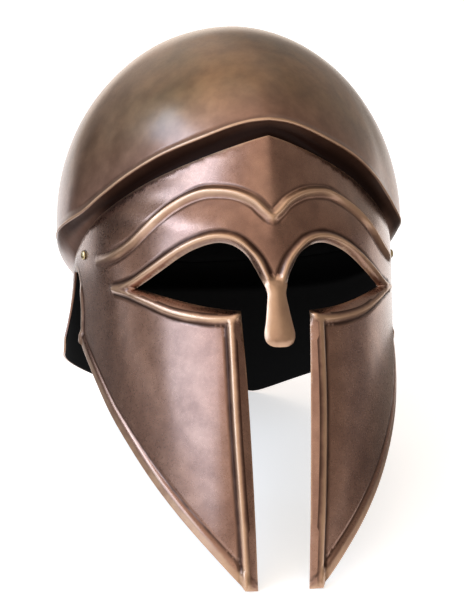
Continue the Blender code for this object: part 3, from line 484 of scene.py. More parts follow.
def face_outline(step):
    """The half plate's edges as named lines, clockwise from the middle of the top edge."""
    tab_height = float(top_edge_height(TOP_EDGE[-1][1])) - TAB_DEPTH
    top = [(a * FACE_SPAN, float(top_edge_height(b))) for a, b in TOP_EDGE]
    ear = [(a * FACE_SPAN, CORNER_HEIGHT + b * (tab_height - CORNER_HEIGHT)) for a, b in EAR_EDGE]
    lower = [(a * FACE_SPAN, b * CORNER_HEIGHT) for a, b in LOWER_EDGE]
    inner = [(TIP_INNER + a * (EYE_INNER - TIP_INNER), b * EYE_BASE) for a, b in INNER_EDGE]
    over = eye_points(EYE_UPPER)
    nasal = [over[-1], (NASAL_NECK / 2, NASAL_JOIN - NASAL_NECK_DEPTH * NASAL_LENGTH)]
    nasal += [(a * NASAL_WIDTH / 2, NASAL_JOIN - b * NASAL_LENGTH) for a, b in NASAL_EDGE]
    middle = [(0.0, NASAL_JOIN - NASAL_LENGTH), (0.0, NASAL_JOIN), (0.0, TOP)]
    return {
        "top": curve_through(top, step),
        "ear": curve_through(ear, step),
        "lower": curve_through(lower, step),
        "inner": curve_through(inner, step),
        "under": curve_through(eye_points(EYE_LOWER), step),
        "over": curve_through(over, step),
        "nasal": curve_through(nasal, step * NASAL_FINER),
        "middle": curve_through(middle, step * MIDDLE_FINER),
    }


def crest_lines(step):
    """Crest of the ridge up the cheek, under the eye and over it to the nasal's top."""
    cheek = [(a * CHEEK_RIDGE, b * EYE_BASE) for a, b in CREST_CHEEK]
    return {
        "cheek": curve_through(cheek, step),
        "under": curve_through(eye_points(CREST_UNDER), step),
        "over": curve_through(eye_points(CREST_OVER), step),
        "join": curve_through([eye_points(CREST_OVER)[-1], (0.0, NASAL_JOIN - RIDGE_FOOT)], step),
    }


def brow_line(step):
    notch = TOP - BROW_DROP
    return curve_through([(a * BROW_SPAN, notch + b * BROW_RISE) for a, b in BROW_LINE], step)


def distance_to(points, line):
    """Shortest distance from each point to a line of straight pieces, and how far along it is."""
    start, leg = line[:-1], np.diff(line, axis=0)
    length = np.maximum((leg ** 2).sum(1), 1e-18)
    offset = points[:, None, :] - start[None]
    share = np.clip((offset * leg[None]).sum(2) / length[None], 0, 1)
    apart = np.linalg.norm(offset - share[..., None] * leg[None], axis=2)
    nearest = apart.argmin(1)
    row = np.arange(len(points))
    return apart[row, nearest], (nearest + share[row, nearest]) / len(leg)


def inside_outline(points, outline):
    """Which points lie inside a closed outline, by counting the edges that a level ray crosses."""
    x, y = points[:, 0][:, None], points[:, 1][:, None]
    x0, y0 = outline[:, 0][None], outline[:, 1][None]
    x1, y1 = np.roll(outline[:, 0], -1)[None], np.roll(outline[:, 1], -1)[None]
    straddles = (y0 > y) != (y1 > y)
    with np.errstate(divide="ignore", invalid="ignore"):
        cross = x0 + (y - y0) * (x1 - x0) / (y1 - y0)
    return (straddles & (x < cross)).sum(1) % 2 == 1


def rim_relief(points, lines, crests):
    """Ridge round the eye and down the cheek, its turned-in edge, and the nasal's rounded bar."""
    turns = (("over", OVER_TURN), ("under", UNDER_TURN), ("inner", INNER_TURN), ("nasal", OVER_TURN))
    apart = np.column_stack([distance_to(points, lines[name])[0] for name, _ in turns])
    weight = 1 / (apart + TURN_BLEND) ** 4
    weight /= weight.sum(1)[:, None]
    turn_in = weight @ np.array([turn for _, turn in turns])
    edge = apart.min(1)
    crest = np.min([distance_to(points, line)[0] for line in crests.values()], axis=0)
    rise = np.sin(np.pi / 2 * edge / np.maximum(edge + crest, 1e-9)) ** RIM_HOLLOW
    inside = -turn_in + (turn_in + RIDGE_HEIGHT) * rise
    outside = RIDGE_HEIGHT * bump(crest, RIDGE_FOOT)
    outside -= GROOVE * bump(crest - RIDGE_FOOT, RIDGE_FOOT * RIDGE_GROOVE)

    border = np.vstack([
        crests["cheek"], crests["under"][1:], crests["over"], crests["join"], [(0, 0)]])
    within = inside_outline(points, border) | (edge < CLOSEST)
    side = np.clip(apart[:, 3] / NASAL_ROUND, 0, 1)
    down = NASAL_JOIN - points[:, 1]
    bar = RIDGE_HEIGHT - NASAL_EDGE_DEPTH * (1 - side) ** 2
    bar += NASAL_REACH * smooth((down + NASAL_BLEND) / NASAL_LENGTH)
    share = smooth((down + NASAL_BLEND * NASAL_LEAD) / NASAL_BLEND) * (points[:, 0] < NASAL_HALF)
    inside += (bar - inside) * share
    return np.where(within, inside, outside)


def band_relief(points, line, width, height):
    """Flat raised band along an edge, with a soft inner foot and a groove beside it."""
    apart, _ = distance_to(points, line)
    band = height * (1 - rising(apart, width * BAND_FLAT, width * BAND_SOFT))
    middle, half = (width * share for share in BAND_GROOVE)
    return band - GROOVE * bump(apart - middle, half)


def brow_relief(points, line):
    apart, share = distance_to(points, line)
    fade = 1 - rising(share, BROW_FADE_FROM, 1 - BROW_FADE_FROM) * BROW_FADE
    half = BROW_WIDTH / 2
    bead = BROW_HEIGHT * fade * bump(apart, half)
    groove = GROOVE * fade * bump(apart - half, half * BROW_GROOVE)
    notch = TOP - BROW_DROP
    stem = np.array([(0.0, notch), (0.0, notch - STEM_LENGTH)])
    away, down = distance_to(points, stem)
    web = STEM_HEIGHT * (1 - down) * bump(away, half * (STEM_WIDTH[0] - STEM_WIDTH[1] * down))
    return np.maximum(bead, web) - groove * (bead >= web)


def face_relief(points, lines, crests, brow):
    rim = rim_relief(points, lines, crests)
    border = band_relief(points, lines["lower"], BORDER_WIDTH, BORDER_HEIGHT)
    ear = band_relief(points, lines["ear"][1:], EAR_BEAD_WIDTH, EAR_BEAD_HEIGHT)
    clear = smooth(distance_to(points, lines["inner"])[0] / (CHEEK_RIDGE - TIP_INNER))
    tab = smooth((CORNER_HEIGHT + BEAD_LENGTH - points[:, 1]) / BEAD_FADE)
    return rim + border * clear + ear * tab + brow_relief(points, brow)


def beside(line, offset):
    """A line moved to its right by an offset."""
    way = np.gradient(line, axis=0)
    way /= np.linalg.norm(way, axis=1)[:, None]
    return line + offset * np.column_stack([way[:, 1], -way[:, 0]])


def waviness(places, wave):
    """Slow unevenness that hammering leaves, in depth along the normal."""
    depth, size = wave
    return np.array([depth * noise.noise(Vector(place) / size) for place in places])


class Pattern:
    """Points of the flat half plate, added row by row and kept a little apart."""

    def __init__(self, outline):
        self.outline = outline
        self.closed = np.vstack([outline, outline[:1]])
        self.points = outline.copy()

    def add(self, row, margin, apart):
        row = row[(row[:, 0] > apart * MIDDLE_MARGIN)]
        row = row[inside_outline(row, self.outline)]
        if not len(row):
            return
        row = row[distance_to(row, self.closed)[0] > margin]
        gap = np.linalg.norm(row[:, None] - self.points[None], axis=2).min(1, initial=1.0)
        self.points = np.vstack([self.points, row[gap > apart]])

    def add_inwards(self, line, rows):
        """Rows beside one of the outline's edges."""
        for k in range(1, rows + 1):
            self.add(beside(line, k * ROW_GAP), k * ROW_GAP * INWARD_MARGIN, ROW_GAP * ROW_APART)


def face_pattern():
    """Flat half pattern of the plate as points and triangles, with close rows along every ridge."""
    lines = face_outline(OUTLINE_STEP)
    crests = crest_lines(ROW_STEP)
    brow = brow_line(ROW_STEP)
    outline = np.vstack([line[:-1] for line in lines.values()])
    pattern = Pattern(outline)
    pattern.add(np.vstack([crests[name] for name in RIDGES]), CLOSEST, CLOSEST)
    margin, apart = ROW_GAP * ROW_MARGIN, ROW_GAP * ROW_APART
    for k in range(1, RIDGE_ROWS + 1):
        for name in RIDGES:
            for side in (1, -1):
                pattern.add(beside(crests[name], side * k * ROW_GAP), margin, apart)
    pattern.add_inwards(lines["nasal"], NASAL_ROWS)
    for k in range(-BROW_ROWS, BROW_ROWS + 1):
        pattern.add(beside(brow, k * BROW_WIDTH / BROW_PARTS), margin, ROW_GAP * BROW_APART)
    pattern.add_inwards(lines["lower"], BORDER_ROWS)
    pattern.add_inwards(lines["ear"], EAR_ROWS)
    for i in range(int(FACE_HEIGHT / (FIELD_STEP * FIELD_PACE)) + 2):
        across = np.arange(FIELD_STEP * (0.5 if i % 2 else 1.0), FACE_SPAN, FIELD_STEP)
        level = np.column_stack([across, np.full_like(across, i * FIELD_STEP * FIELD_PACE)])
        pattern.add(level, FIELD_STEP * FIELD_MARGIN, FIELD_STEP * FIELD_APART)

    count = len(outline)
    loop = [(i, (i + 1) % count) for i in range(count)]
    points, _, faces, _, _, _ = delaunay_2d_cdt(
        [Vector(point) for point in pattern.points], loop, [list(range(count))], 1, 1e-7)
    points = np.array([point[:] for point in points])
    middles = np.array([points[list(face)].mean(0) for face in faces])
    kept = inside_outline(middles, outline)
    return points, [face for face, good in zip(faces, kept) if good], lines, crests, brow


def linked(name, content):
    """Object of a mesh, a light or a camera, put into the scene."""
    thing = bpy.data.objects.new(name, content)
    bpy.context.scene.collection.objects.link(thing)
    return thing


def mesh_of(name, bm, materials):
    mesh = bpy.data.meshes.new(name)
    bm.to_mesh(mesh)
    bm.free()
    for material in materials:
        mesh.materials.append(material)
    return mesh


def add_piece(name, bm, materials, masks):
    """Object in the helmet's own frame, with its finish masks by vertex, which include painted shade on the
    skull.
    """
    mesh = mesh_of(name, bm, materials)
    for mask, values in masks.items():
        layer = mesh.attributes.new(mask, "FLOAT", "POINT")
        layer.data.foreach_set("value", np.asarray(values, np.float32))
    mesh.shade_smooth()
    mesh.set_sharp_from_angle(angle=math.radians(SMOOTH_ANGLE))
    return linked(name, mesh)


def thicken(thing):
    """Other half, then the sheet's thickness with a black inner side, then rounded cut edges."""
    mirror = thing.modifiers.new("other half", "MIRROR")
    mirror.merge_threshold = MERGE
    sheet = thing.modifiers.new("sheet", "SOLIDIFY")
    sheet.thickness = SHEET
    sheet.offset = -1.0
    sheet.use_quality_normals = True
    sheet.material_offset = 1
    edge = thing.modifiers.new("edge", "BEVEL")
    edge.width = EDGE_ROUND
    edge.segments = 2
    edge.limit_method = "ANGLE"
    edge.angle_limit = math.radians(EDGE_ANGLE)
    edge.harden_normals = False


def make_face_plate(materials):
    """Forehead, brows, nasal and both cheek pieces in one embossed sheet."""
    points, faces, lines, crests, brow = face_pattern()
    relief = face_relief(points, lines, crests, brow)
    places = face_form(points[:, 0], points[:, 1])
    top = distance_to(points, lines["top"])[0]
    wave = waviness(places, FACE_WAVE) * rising(top, FLANGE, FACE_WAVE_FADE)
    normals = face_normal(points[:, 0], points[:, 1])
    places += normals * (relief + wave)[:, None]
    places[np.abs(points[:, 0]) < 1e-7, 0] = 0
    bm = bmesh.new()
    verts = [bm.verts.new(place) for place in places]
    for face in faces:
        a, b, c = (points[i] for i in face)
        flat = (b[0] - a[0]) * (c[1] - a[1]) - (b[1] - a[1]) * (c[0] - a[0])
        corners = face if flat > 0 else face[::-1]
        bm.faces.new([verts[i] for i in corners])
    masks = face_masks(points, lines, crests, brow)
    plate = add_piece("embossed_face_plate", bm, materials, masks)
    thicken(plate)
    return plate


def faded(apart, line):
    """Mask's value at a distance from a rubbed or dark line."""
    start, length = line
    return start + apart / length


def face_masks(points, lines, crests, brow):
    """How near each point is to a rubbed line and to a dark one; the plate has no patina, painted shade or
    golden tint.
    """
    crest = np.min([distance_to(points, crests[name])[0] for name in RIDGES], axis=0)
    cut = np.min([distance_to(points, lines[name])[0] for name in CUT_EDGES], axis=0)
    edges = (lines["lower"], lines["ear"][1:], lines["top"])
    lower, ear, top = (distance_to(points, edge)[0] for edge in edges)
    brow_apart, share = distance_to(points, brow)
    end = rising(share, BROW_FADE_FROM, 1 - BROW_FADE_FROM)
    high = 1 - smooth((RIVET_HEIGHT - points[:, 1]) / EAR_FADE)
    rubbed = np.min([
        faded(crest, CREST_RUB),
        faded(np.maximum(0, lower - BORDER_WIDTH / 2), BORDER_RUB),
        faded(np.maximum(0, ear - EAR_BEAD_WIDTH / 2), EAR_RUB) + high,
        faded(top, TOP_RUB),
        faded(cut, CUT_RUB),
        brow_apart / (BROW_WIDTH / 2) + BROW_END_RUB * end,
    ], axis=0)
    dark = np.min([
        np.where(cut > crest, faded(np.abs(crest - RIDGE_FOOT * FOOT_PLACE), FOOT_DARK), FAR),
        faded(np.abs(lower - BORDER_WIDTH * BORDER_DARK_PLACE), BORDER_DARK),
        faded(np.abs(ear - EAR_BEAD_WIDTH * EAR_DARK_PLACE), EAR_DARK) + high,
        faded(np.abs(brow_apart - BROW_WIDTH * BROW_DARK_PLACE), BROW_DARK) + BROW_END_DARK * end,
    ], axis=0)
    beside_middle = points[:, 0] < NASAL_WIDTH * NASAL_RUB_SIDE
    nasal = beside_middle & (points[:, 1] < NASAL_JOIN + NASAL_RUB_TOP)
    rubbed = np.where(nasal, np.minimum(rubbed, NASAL_RUB), rubbed)
    dark = np.where(nasal, FAR, dark)
    none = np.zeros(len(points))
    return {"rubbed": np.minimum(rubbed, FAR), "dark": np.minimum(dark, FAR),
            "patina_and_painted_shade": none, "golden": none}


def plan_radius(angle, half_width, depth, power):
    """Distance from the middle to a rounded plan curve, by the angle from the front."""
    across = np.abs(np.sin(angle) / half_width) ** power
    ahead = np.abs(np.cos(angle) / depth) ** power
    return (across + ahead) ** (-1 / power)


def placed(angle, radius, height):
    """Point at an angle from the front and a distance from the middle."""
    return np.array([radius * math.sin(angle), -radius * math.cos(angle), height])


def dome_point(angle, height):
    """Point of the dome at an angle from the front; below the equator it goes straight down."""
    up = max(0.0, min(1.0, (height - EQUATOR) / DOME_RISE))
    lean = math.sqrt(1 - up * up)
    keel = KEEL_POWER + (2 - KEEL_POWER) * (1 - lean)
    power = keel + (2 - keel) * float(rising(math.degrees(angle), KEEL_TURN, KEEL_EASE))
    depth = SKULL_FRONT if angle < math.pi / 2 else SKULL_BACK
    return placed(angle, lean * plan_radius(angle, SKULL_WIDTH / 2, depth, power), height)


def ridge_height(angle):
    return RIDGE_FRONT_HEIGHT - RIDGE_FALL * float(ridge_fall_share(angle / math.pi))


def wall_form(angle, height):
    half_width, depth, power = (float(value) for value in face_section(height))
    if angle > math.pi / 2:
        depth, power = WALL_BACK, 2.0
    return placed(angle, plan_radius(angle, half_width, depth, power), height)


def wall_point(angle, height):
    """Outer side of the skull's wall, which runs down behind the face plate."""
    turn = NORMAL_REACH / FACE_HALF_WIDTH
    across = wall_form(angle + turn, height) - wall_form(angle - turn, height)
    if angle < turn:
        across = np.array([1.0, 0.0, 0.0])
    upward = wall_form(angle, height + NORMAL_REACH) - wall_form(angle, height - NORMAL_REACH)
    normal = np.cross(across, upward)
    return wall_form(angle, height) - normal / np.linalg.norm(normal) * WALL_INSET


def seam_curve():
    """Height of the step's foot by angle: just above the plate, then down to the neck guard."""
    edge = face_outline(OUTLINE_STEP)["top"]
    places = face_form(edge[:, 0], edge[:, 1])
    angles = np.degrees(np.arctan2(places[:, 0], -places[:, 1]))
    ends = ridge_height(math.pi) - BACK_STEP_HEIGHT
    last = edge[-1, 1] + SEAM_GAP
    rear = np.linspace(angles[-1], 180, SEAM_STEPS)[1:]
    fall = 1 - (1 - (rear - angles[-1]) / (180 - angles[-1])) ** SEAM_CURVE
    heights = np.concatenate([edge[:, 1] + SEAM_GAP, last + (ends - last) * fall])
    angles = np.concatenate([angles, rear])
    return lambda angle: float(np.interp(math.degrees(angle), angles, heights))


def column_angles():
    """Angles of the skull's columns, closer together at the keel and at the guard's front edge."""
    front = np.linspace(0, KEEL_SPAN, KEEL_COLUMNS)
    side = np.linspace(KEEL_SPAN, GUARD_START - CORNER_LEAD, SIDE_COLUMNS)[1:]
    before = [GUARD_START - CORNER_LEAD / 2]
    corner = np.linspace(GUARD_START, GUARD_START + CORNER_SPAN, CORNER_COLUMNS)
    back = np.linspace(GUARD_START + CORNER_SPAN, 180, BACK_COLUMNS)[1:]
    return np.radians(np.concatenate([front, side, before, corner, back]))


def guard_share(angle):
    """How far the guard's flare has set in, round the side."""
    return float(rising(math.degrees(angle), GUARD_START - GUARD_BEFORE, GUARD_EASE))


def flange_foot(angle, seam):
    """Height of the wall's lower edge behind the plate, deeper where the rivet goes through."""
    rivet = face_form(RIVET_ARC, RIVET_HEIGHT)[0]
    rivet_angle = math.degrees(math.atan2(rivet[0], -rivet[1]))
    deep = float(rising(math.degrees(angle), rivet_angle - FLANGE_TURN, FLANGE_EASE))
    behind = float(rising(math.degrees(angle), GUARD_START, 180 - GUARD_START))
    plain = seam - FLANGE
    low = min(RIVET_HEIGHT - RIVET_MARGIN, seam - FLANGE * FLANGE_LEAST)
    low += (seam - FLANGE - low) * behind
    return plain + (low - plain) * deep


def resting_slope():
    """Slope of the plane through the tips and the back of the rim."""
    tip_depth = float(face_section(0.0)[1])
    return (TOP - GUARD_BACK_DROP) / (WALL_BACK + GUARD_FLARE + tip_depth), tip_depth


def guard_rim(angle):
    """Point of the neck guard's rim; its middle lies in the plane that the helmet rests on."""
    radius = plan_radius(angle, FACE_HALF_WIDTH + GUARD_FLARE, WALL_BACK + GUARD_FLARE, 2.0)
    place = placed(angle, radius, 0.0)
    slope, tip_depth = resting_slope()
    start = math.radians(GUARD_START)
    straight = math.pi - math.asin(REST_HALF_WIDTH / (WALL_BACK + GUARD_FLARE))
    share = max(0.0, (straight - angle) / (straight - start))
    share = math.hypot(share * (1 + RIM_RISE * (1 - share)), RIM_SOFT) - RIM_SOFT
    plane = slope * (place[1] + tip_depth)
    front_plane = slope * (tip_depth - (FACE_HALF_WIDTH + GUARD_FLARE) * math.cos(start))
    place[2] = plane + share / (1 - RIM_SOFT) * (TOP - GUARD_CORNER_DROP - front_plane)
    left = GUARD_CORNER_RADIUS - max(0.0, angle - start) * radius
    if left > 0:
        place[2] += GUARD_CORNER_RADIUS - math.sqrt(max(0.0, GUARD_CORNER_RADIUS ** 2 - left ** 2))
    return place


def lip_point(edge, share):
    """Point round the small half-round lip that the dome's edge is rolled into."""
    outward = np.array([edge[0], edge[1], 0.0]) / math.hypot(edge[0], edge[1])
    drop = LIP * (1 - math.cos(math.pi * share)) / 2
    return edge + outward * LIP * LIP_REACH * math.sin(math.pi * share) - np.array([0, 0, drop])


def skull_column(angle, seam_height):
    """Points down one column of the skull, and the part of the skull that each lies in."""
    ridge = ridge_height(angle)
    crest = math.acos(max(0.0, min(1.0, (ridge - EQUATOR) / DOME_RISE)))
    below = max(0.0, EQUATOR - ridge)
    whole = crest + below / DOME_RISE
    column, part = [], []
    for i in range(1, DOME_ROWS + 1):
        turn = whole * i / DOME_ROWS
        if below == 0 or turn < crest:
            height = EQUATOR + DOME_RISE * math.cos(turn)
        else:
            height = EQUATOR - DOME_RISE * (turn - crest)
        column.append(dome_point(angle, height))
        part.append(i / DOME_ROWS)
    edge = column[-1]
    seam = seam_height(angle)
    foot = wall_point(angle, seam)
    roundness = float(rising(math.degrees(angle), STEP_TURN, STEP_EASE))
    hollow = STEP_HOLLOW + (1 - STEP_HOLLOW) * roundness
    bulge = 1 + (STEP_BULGE - 1) * roundness
    for i in range(1, LIP_ROWS + 1):
        column.append(lip_point(edge, i / LIP_ROWS))
        part.append(1.0)
    lip = column[-1]
    for i in range(1, STEP_ROWS + 1):
        down = (i / STEP_ROWS) ** STEP_PACE
        inward = (1 - (1 - down) ** hollow) ** bulge
        place = lip + (foot - lip) * inward
        place[2] = lip[2] + (foot[2] - lip[2]) * down
        column.append(place)
        part.append(1.0 + down)
    low = flange_foot(angle, seam)
    flare = guard_share(angle)
    rim = guard_rim(angle)
    for i in range(1, WALL_ROWS + 1):
        share = i / WALL_ROWS
        place = wall_point(angle, seam + (low - seam) * share)
        place[:2] += (rim - place)[:2] * flare * share * GUARD_LEAD
        column.append(place)
        part.append(2.0 + share)
    return column, part


def guard_column(angle, top):
    """Points down one column of the neck guard, below its top row."""
    rim = guard_rim(angle)
    column = []
    for i in range(1, GUARD_ROWS + 1):
        share = i / GUARD_ROWS
        place = top + (rim - top) * share
        place[:2] = top[:2] + (rim - top)[:2] * share ** GUARD_CURVE
        column.append(place)
    return column, [3.0 + i / GUARD_ROWS for i in range(1, GUARD_ROWS + 1)]


def make_skull(materials):
    """Dome, ridge, step, hidden wall and neck guard in one raised sheet."""
    seam_height = seam_curve()
    angles = column_angles()
    guard_from = int(np.argmin(np.abs(angles - math.radians(GUARD_START))))
    bm = bmesh.new()
    crown = bm.verts.new((0, 0, EQUATOR + DOME_RISE))
    columns, places, parts = [], [np.array([0, 0, EQUATOR + DOME_RISE])], [0.0]
    turns, lip_apart, rim_apart = [0.0], [1.0], [1.0]
    for i, angle in enumerate(angles):
        column, part = skull_column(angle, seam_height)
        if i >= guard_from:
            lower, lower_part = guard_column(angle, column[-1])
            column += lower
            part += lower_part
        if i in (0, len(angles) - 1):
            for place in column:
                place[0] = 0
        columns.append([bm.verts.new(place) for place in column])
        places += column
        parts += part
        turns += [math.degrees(angle)] * len(column)
        run = np.concatenate([[0], np.cumsum(np.linalg.norm(np.diff(column, axis=0), axis=1))])
        lip_apart += list(np.abs(run - run[DOME_ROWS + LIP_ROWS // 2 - 1]))
        rim_apart += list(run[-1] - run) if i >= guard_from else [1.0] * len(column)
    for left, right in zip(columns[:-1], columns[1:]):
        bm.faces.new((crown, left[0], right[0]))
        for k in range(min(len(left), len(right)) - 1):
            bm.faces.new((left[k], left[k + 1], right[k + 1], right[k]))
    bm.normal_update()
    parts, turns, places = np.array(parts), np.array(turns), np.array(places)
    on_dome, on_guard = smooth((1 - parts) / DOME_WAVE_FADE), rising(parts, 3, GUARD_WAVE_FADE)
    wave = waviness(places, SKULL_WAVE) * np.where(parts < 1, on_dome, on_guard)
    wave[0] = 0
    for vert, depth in zip(bm.verts, wave):
        if abs(vert.co.x) > 1e-6:
            vert.co += vert.normal * float(depth)
    masks = skull_masks(parts, turns, np.array(lip_apart), np.array(rim_apart))
    skull = add_piece("raised_skull", bm, materials, masks)
    thicken(skull)
    return skull


def skull_masks(parts, turns, lip_apart, rim_apart):
    """The same masks on the skull, by the part of a column and the angle from the front; the dark mask of
    the step under the ridge and of the hidden wall is painted shade over patina.
    """
    rubbed = np.minimum(faded(lip_apart, LIP_RUB), faded(rim_apart, RIM_RUB))
    down = np.clip(parts - 1, 0, 1)
    # Painted shade over patina: dark step under the ridge, lighter at the sides and behind, and a dark
    # hidden wall behind the plate.
    step = STEP_DARK + (1 - STEP_DARK) * smooth(down / STEP_FULL)
    step *= 1 - (1 - BACK_DARK) * rising(turns, *STEP_FADE)
    step *= 1 - SIDE_LIT_SHARE * rising(turns, *SIDE_LIT_FADE) * rising(down, *SIDE_LIT_DOWN)
    in_front, behind = WALL_DARK
    wall = in_front + (behind - in_front) * rising(turns, *WALL_FADE)
    patina_and_painted_shade = np.select([parts <= 1, parts <= 2, parts < 3], [0.0, step, wall], GUARD_DARK)
    middle, reach = GOLDEN_FADE
    golden = np.exp(-((turns - middle) / reach) ** 2) * smooth(parts / GOLDEN_TOP)
    golden = np.where(parts <= 1, golden * (1 - rising(parts, *GOLDEN_FOOT)), 0.0)
    return {"rubbed": np.minimum(rubbed, FAR), "dark": np.full(len(parts), FAR),
            "patina_and_painted_shade": patina_and_painted_shade, "golden": golden}


def rivet_frame(side):
    """Place of a rivet: its head's seat on the plate, with its axis along the plate's normal."""
    seat = Vector(face_form(RIVET_ARC, RIVET_HEIGHT)[0])
    normal = Vector(face_normal(np.array([RIVET_ARC]), np.array([RIVET_HEIGHT]))[0])
    seat.x *= side
    normal.x *= side
    turn = normal.to_track_quat("Z", "Y").to_matrix().to_4x4()
    return Matrix.Translation(seat) @ turn


def turned(name, profile, materials, place):
    """Solid turned from a profile of radius and height that starts and ends on its axis."""
    bm = bmesh.new()
    verts = [bm.verts.new((radius, 0, height)) for radius, height in profile]
    edges = [bm.edges.new(pair) for pair in zip(verts[:-1], verts[1:])]
    bmesh.ops.spin(bm, geom=verts + edges, cent=(0, 0, 0), axis=(0, 0, 1), dvec=(0, 0, 0),
                   angle=2 * math.pi, steps=RIVET_SIDES, use_duplicate=False)
    bmesh.ops.remove_doubles(bm, verts=bm.verts[:], dist=1e-6)
    bmesh.ops.recalc_face_normals(bm, faces=bm.faces[:])
    bmesh.ops.transform(bm, matrix=place, verts=bm.verts[:])
    return add_piece(name, bm, materials, {})


def make_rivet(name, side, materials):
    """Domed head outside, shank through both sheets, hammered end inside."""
    stack = SHEET + PLATE_GAP + SHEET
    head, shank, tail = RIVET_HEAD / 2, RIVET_SHANK / 2, RIVET_TAIL / 2
    seat = RIVET_GAP
    end = -stack - RIVET_GAP
    profile = [(0, seat + RIVET_DOME)]
    for i in range(1, RIVET_DOME_STEPS + 1):
        turn = math.radians(RIVET_DOME_TURN) * i / RIVET_DOME_STEPS
        profile.append((head * math.sin(turn), seat + RIVET_DOME * math.cos(turn)))
    profile += [(head * RIVET_FOOT, seat), (shank, seat), (shank, end)]
    profile += [(tail * across, end - RIVET_TAIL_HEIGHT * down) for across, down in RIVET_TAIL_PROFILE]
    return turned(name, profile, materials, rivet_frame(side))


def drill(side, targets, material):
    """Hole through both sheets, wider than the shank by a clearance."""
    radius = RIVET_SHANK / 2 + RIVET_GAP
    reach = 4 * SHEET + PLATE_GAP
    profile = [(0, reach), (radius, reach), (radius, -2 * reach), (0, -2 * reach)]
    cutter = turned("hole", profile, [material], rivet_frame(side))
    for target in targets:
        cut = target.modifiers.new("hole", "BOOLEAN")
        cut.operation = "DIFFERENCE"
        cut.solver = "EXACT"
        cut.object = cutter
    return cutter


def apply_modifiers(thing):
    """The modifiers' result becomes the mesh itself."""
    graph = bpy.context.evaluated_depsgraph_get()
    final = bpy.data.meshes.new_from_object(thing.evaluated_get(graph), depsgraph=graph)
    thing.modifiers.clear()
    thing.data = final


def helmet_stance():
    """From the helmet's own frame to the frame it rests in, by the place and axis of the head's mount."""
    mount = next(mount for mount in frame["record"]["mounts"] if mount["name"] == "head")
    up = -Vector(mount["axis"])
    turn = Matrix.Rotation(-math.atan2(up.y, up.z), 4, "X")
    place = Vector(mount["pos_m"]) - turn @ Vector((0, 0, EQUATOR))
    return Matrix.Translation(place) @ turn


# Finishes

def linear(code):
    """Linear red, green and blue of an sRGB hex colour."""
    parts = [int(code[i:i + 2], 16) / 255 for i in (1, 3, 5)]
    return tuple(c / 12.92 if c <= 0.04045 else ((c + 0.055) / 1.055) ** 2.4 for c in parts) + (1.0,)


def add(tree, kind, settings):
    """One node. Each setting is a property, an input's value, or a socket that is linked to an input."""
    node = tree.nodes.new(kind)
    for key, value in settings.items():
        if isinstance(value, bpy.types.NodeSocket):
            tree.links.new(value, node.inputs[key])
        elif isinstance(key, str) and hasattr(node, key):
            setattr(node, key, value)
        else:
            node.inputs[key].default_value = value
    return node


def new_material(name):
    material = bpy.data.materials.new(name)
    material.use_nodes = True
    tree = material.node_tree
    tree.nodes.clear()
    return material, tree


# Copper: size of each pattern and its detail
COPPER_PATTERNS = (
    (0.046, 3.0),    # clouds where the dip dried unevenly
    (0.012, 4.0),    # streaks that the rubbing left
    (0.0016, 2.0),   # grain of the scouring pad, coarser than the real 0.3 mm so that it shows
)
PATTERN_ROUGHNESS = 0.55
UNEVEN = 0.22        # how far the streaks shift the rubbed and dark lines
MOST_WEAR = 0.80     # share of clean copper on a rubbed line
MOST_GRIME = 0.85    # share of dark patina in a dark one
GRAIN_SPREAD = 0.08  # how much the grain varies the roughness
GRIME_AND_SHADE_ROUGHER = 0.25
WEAR_ROUGHER = 0.16
LACQUER = (0.80, 0.06)    # its share on clean metal, and where the dark mix is full: patina that has eaten it dull, and painted shade
LACQUER_ROUGHNESS = 0.22
LACQUER_IOR = 1.6
COPPER_BROWNS = ("#8a6350", "#9d7763")
COPPER_GOLDENS = ("#7c6548", "#967350")
COPPER_STREAKS = ("#dcd6d4", "#ffffff")
DARKEST_PATINA_AND_SHADE = "#23130e"
RUBBED_COPPER = "#cfa987"


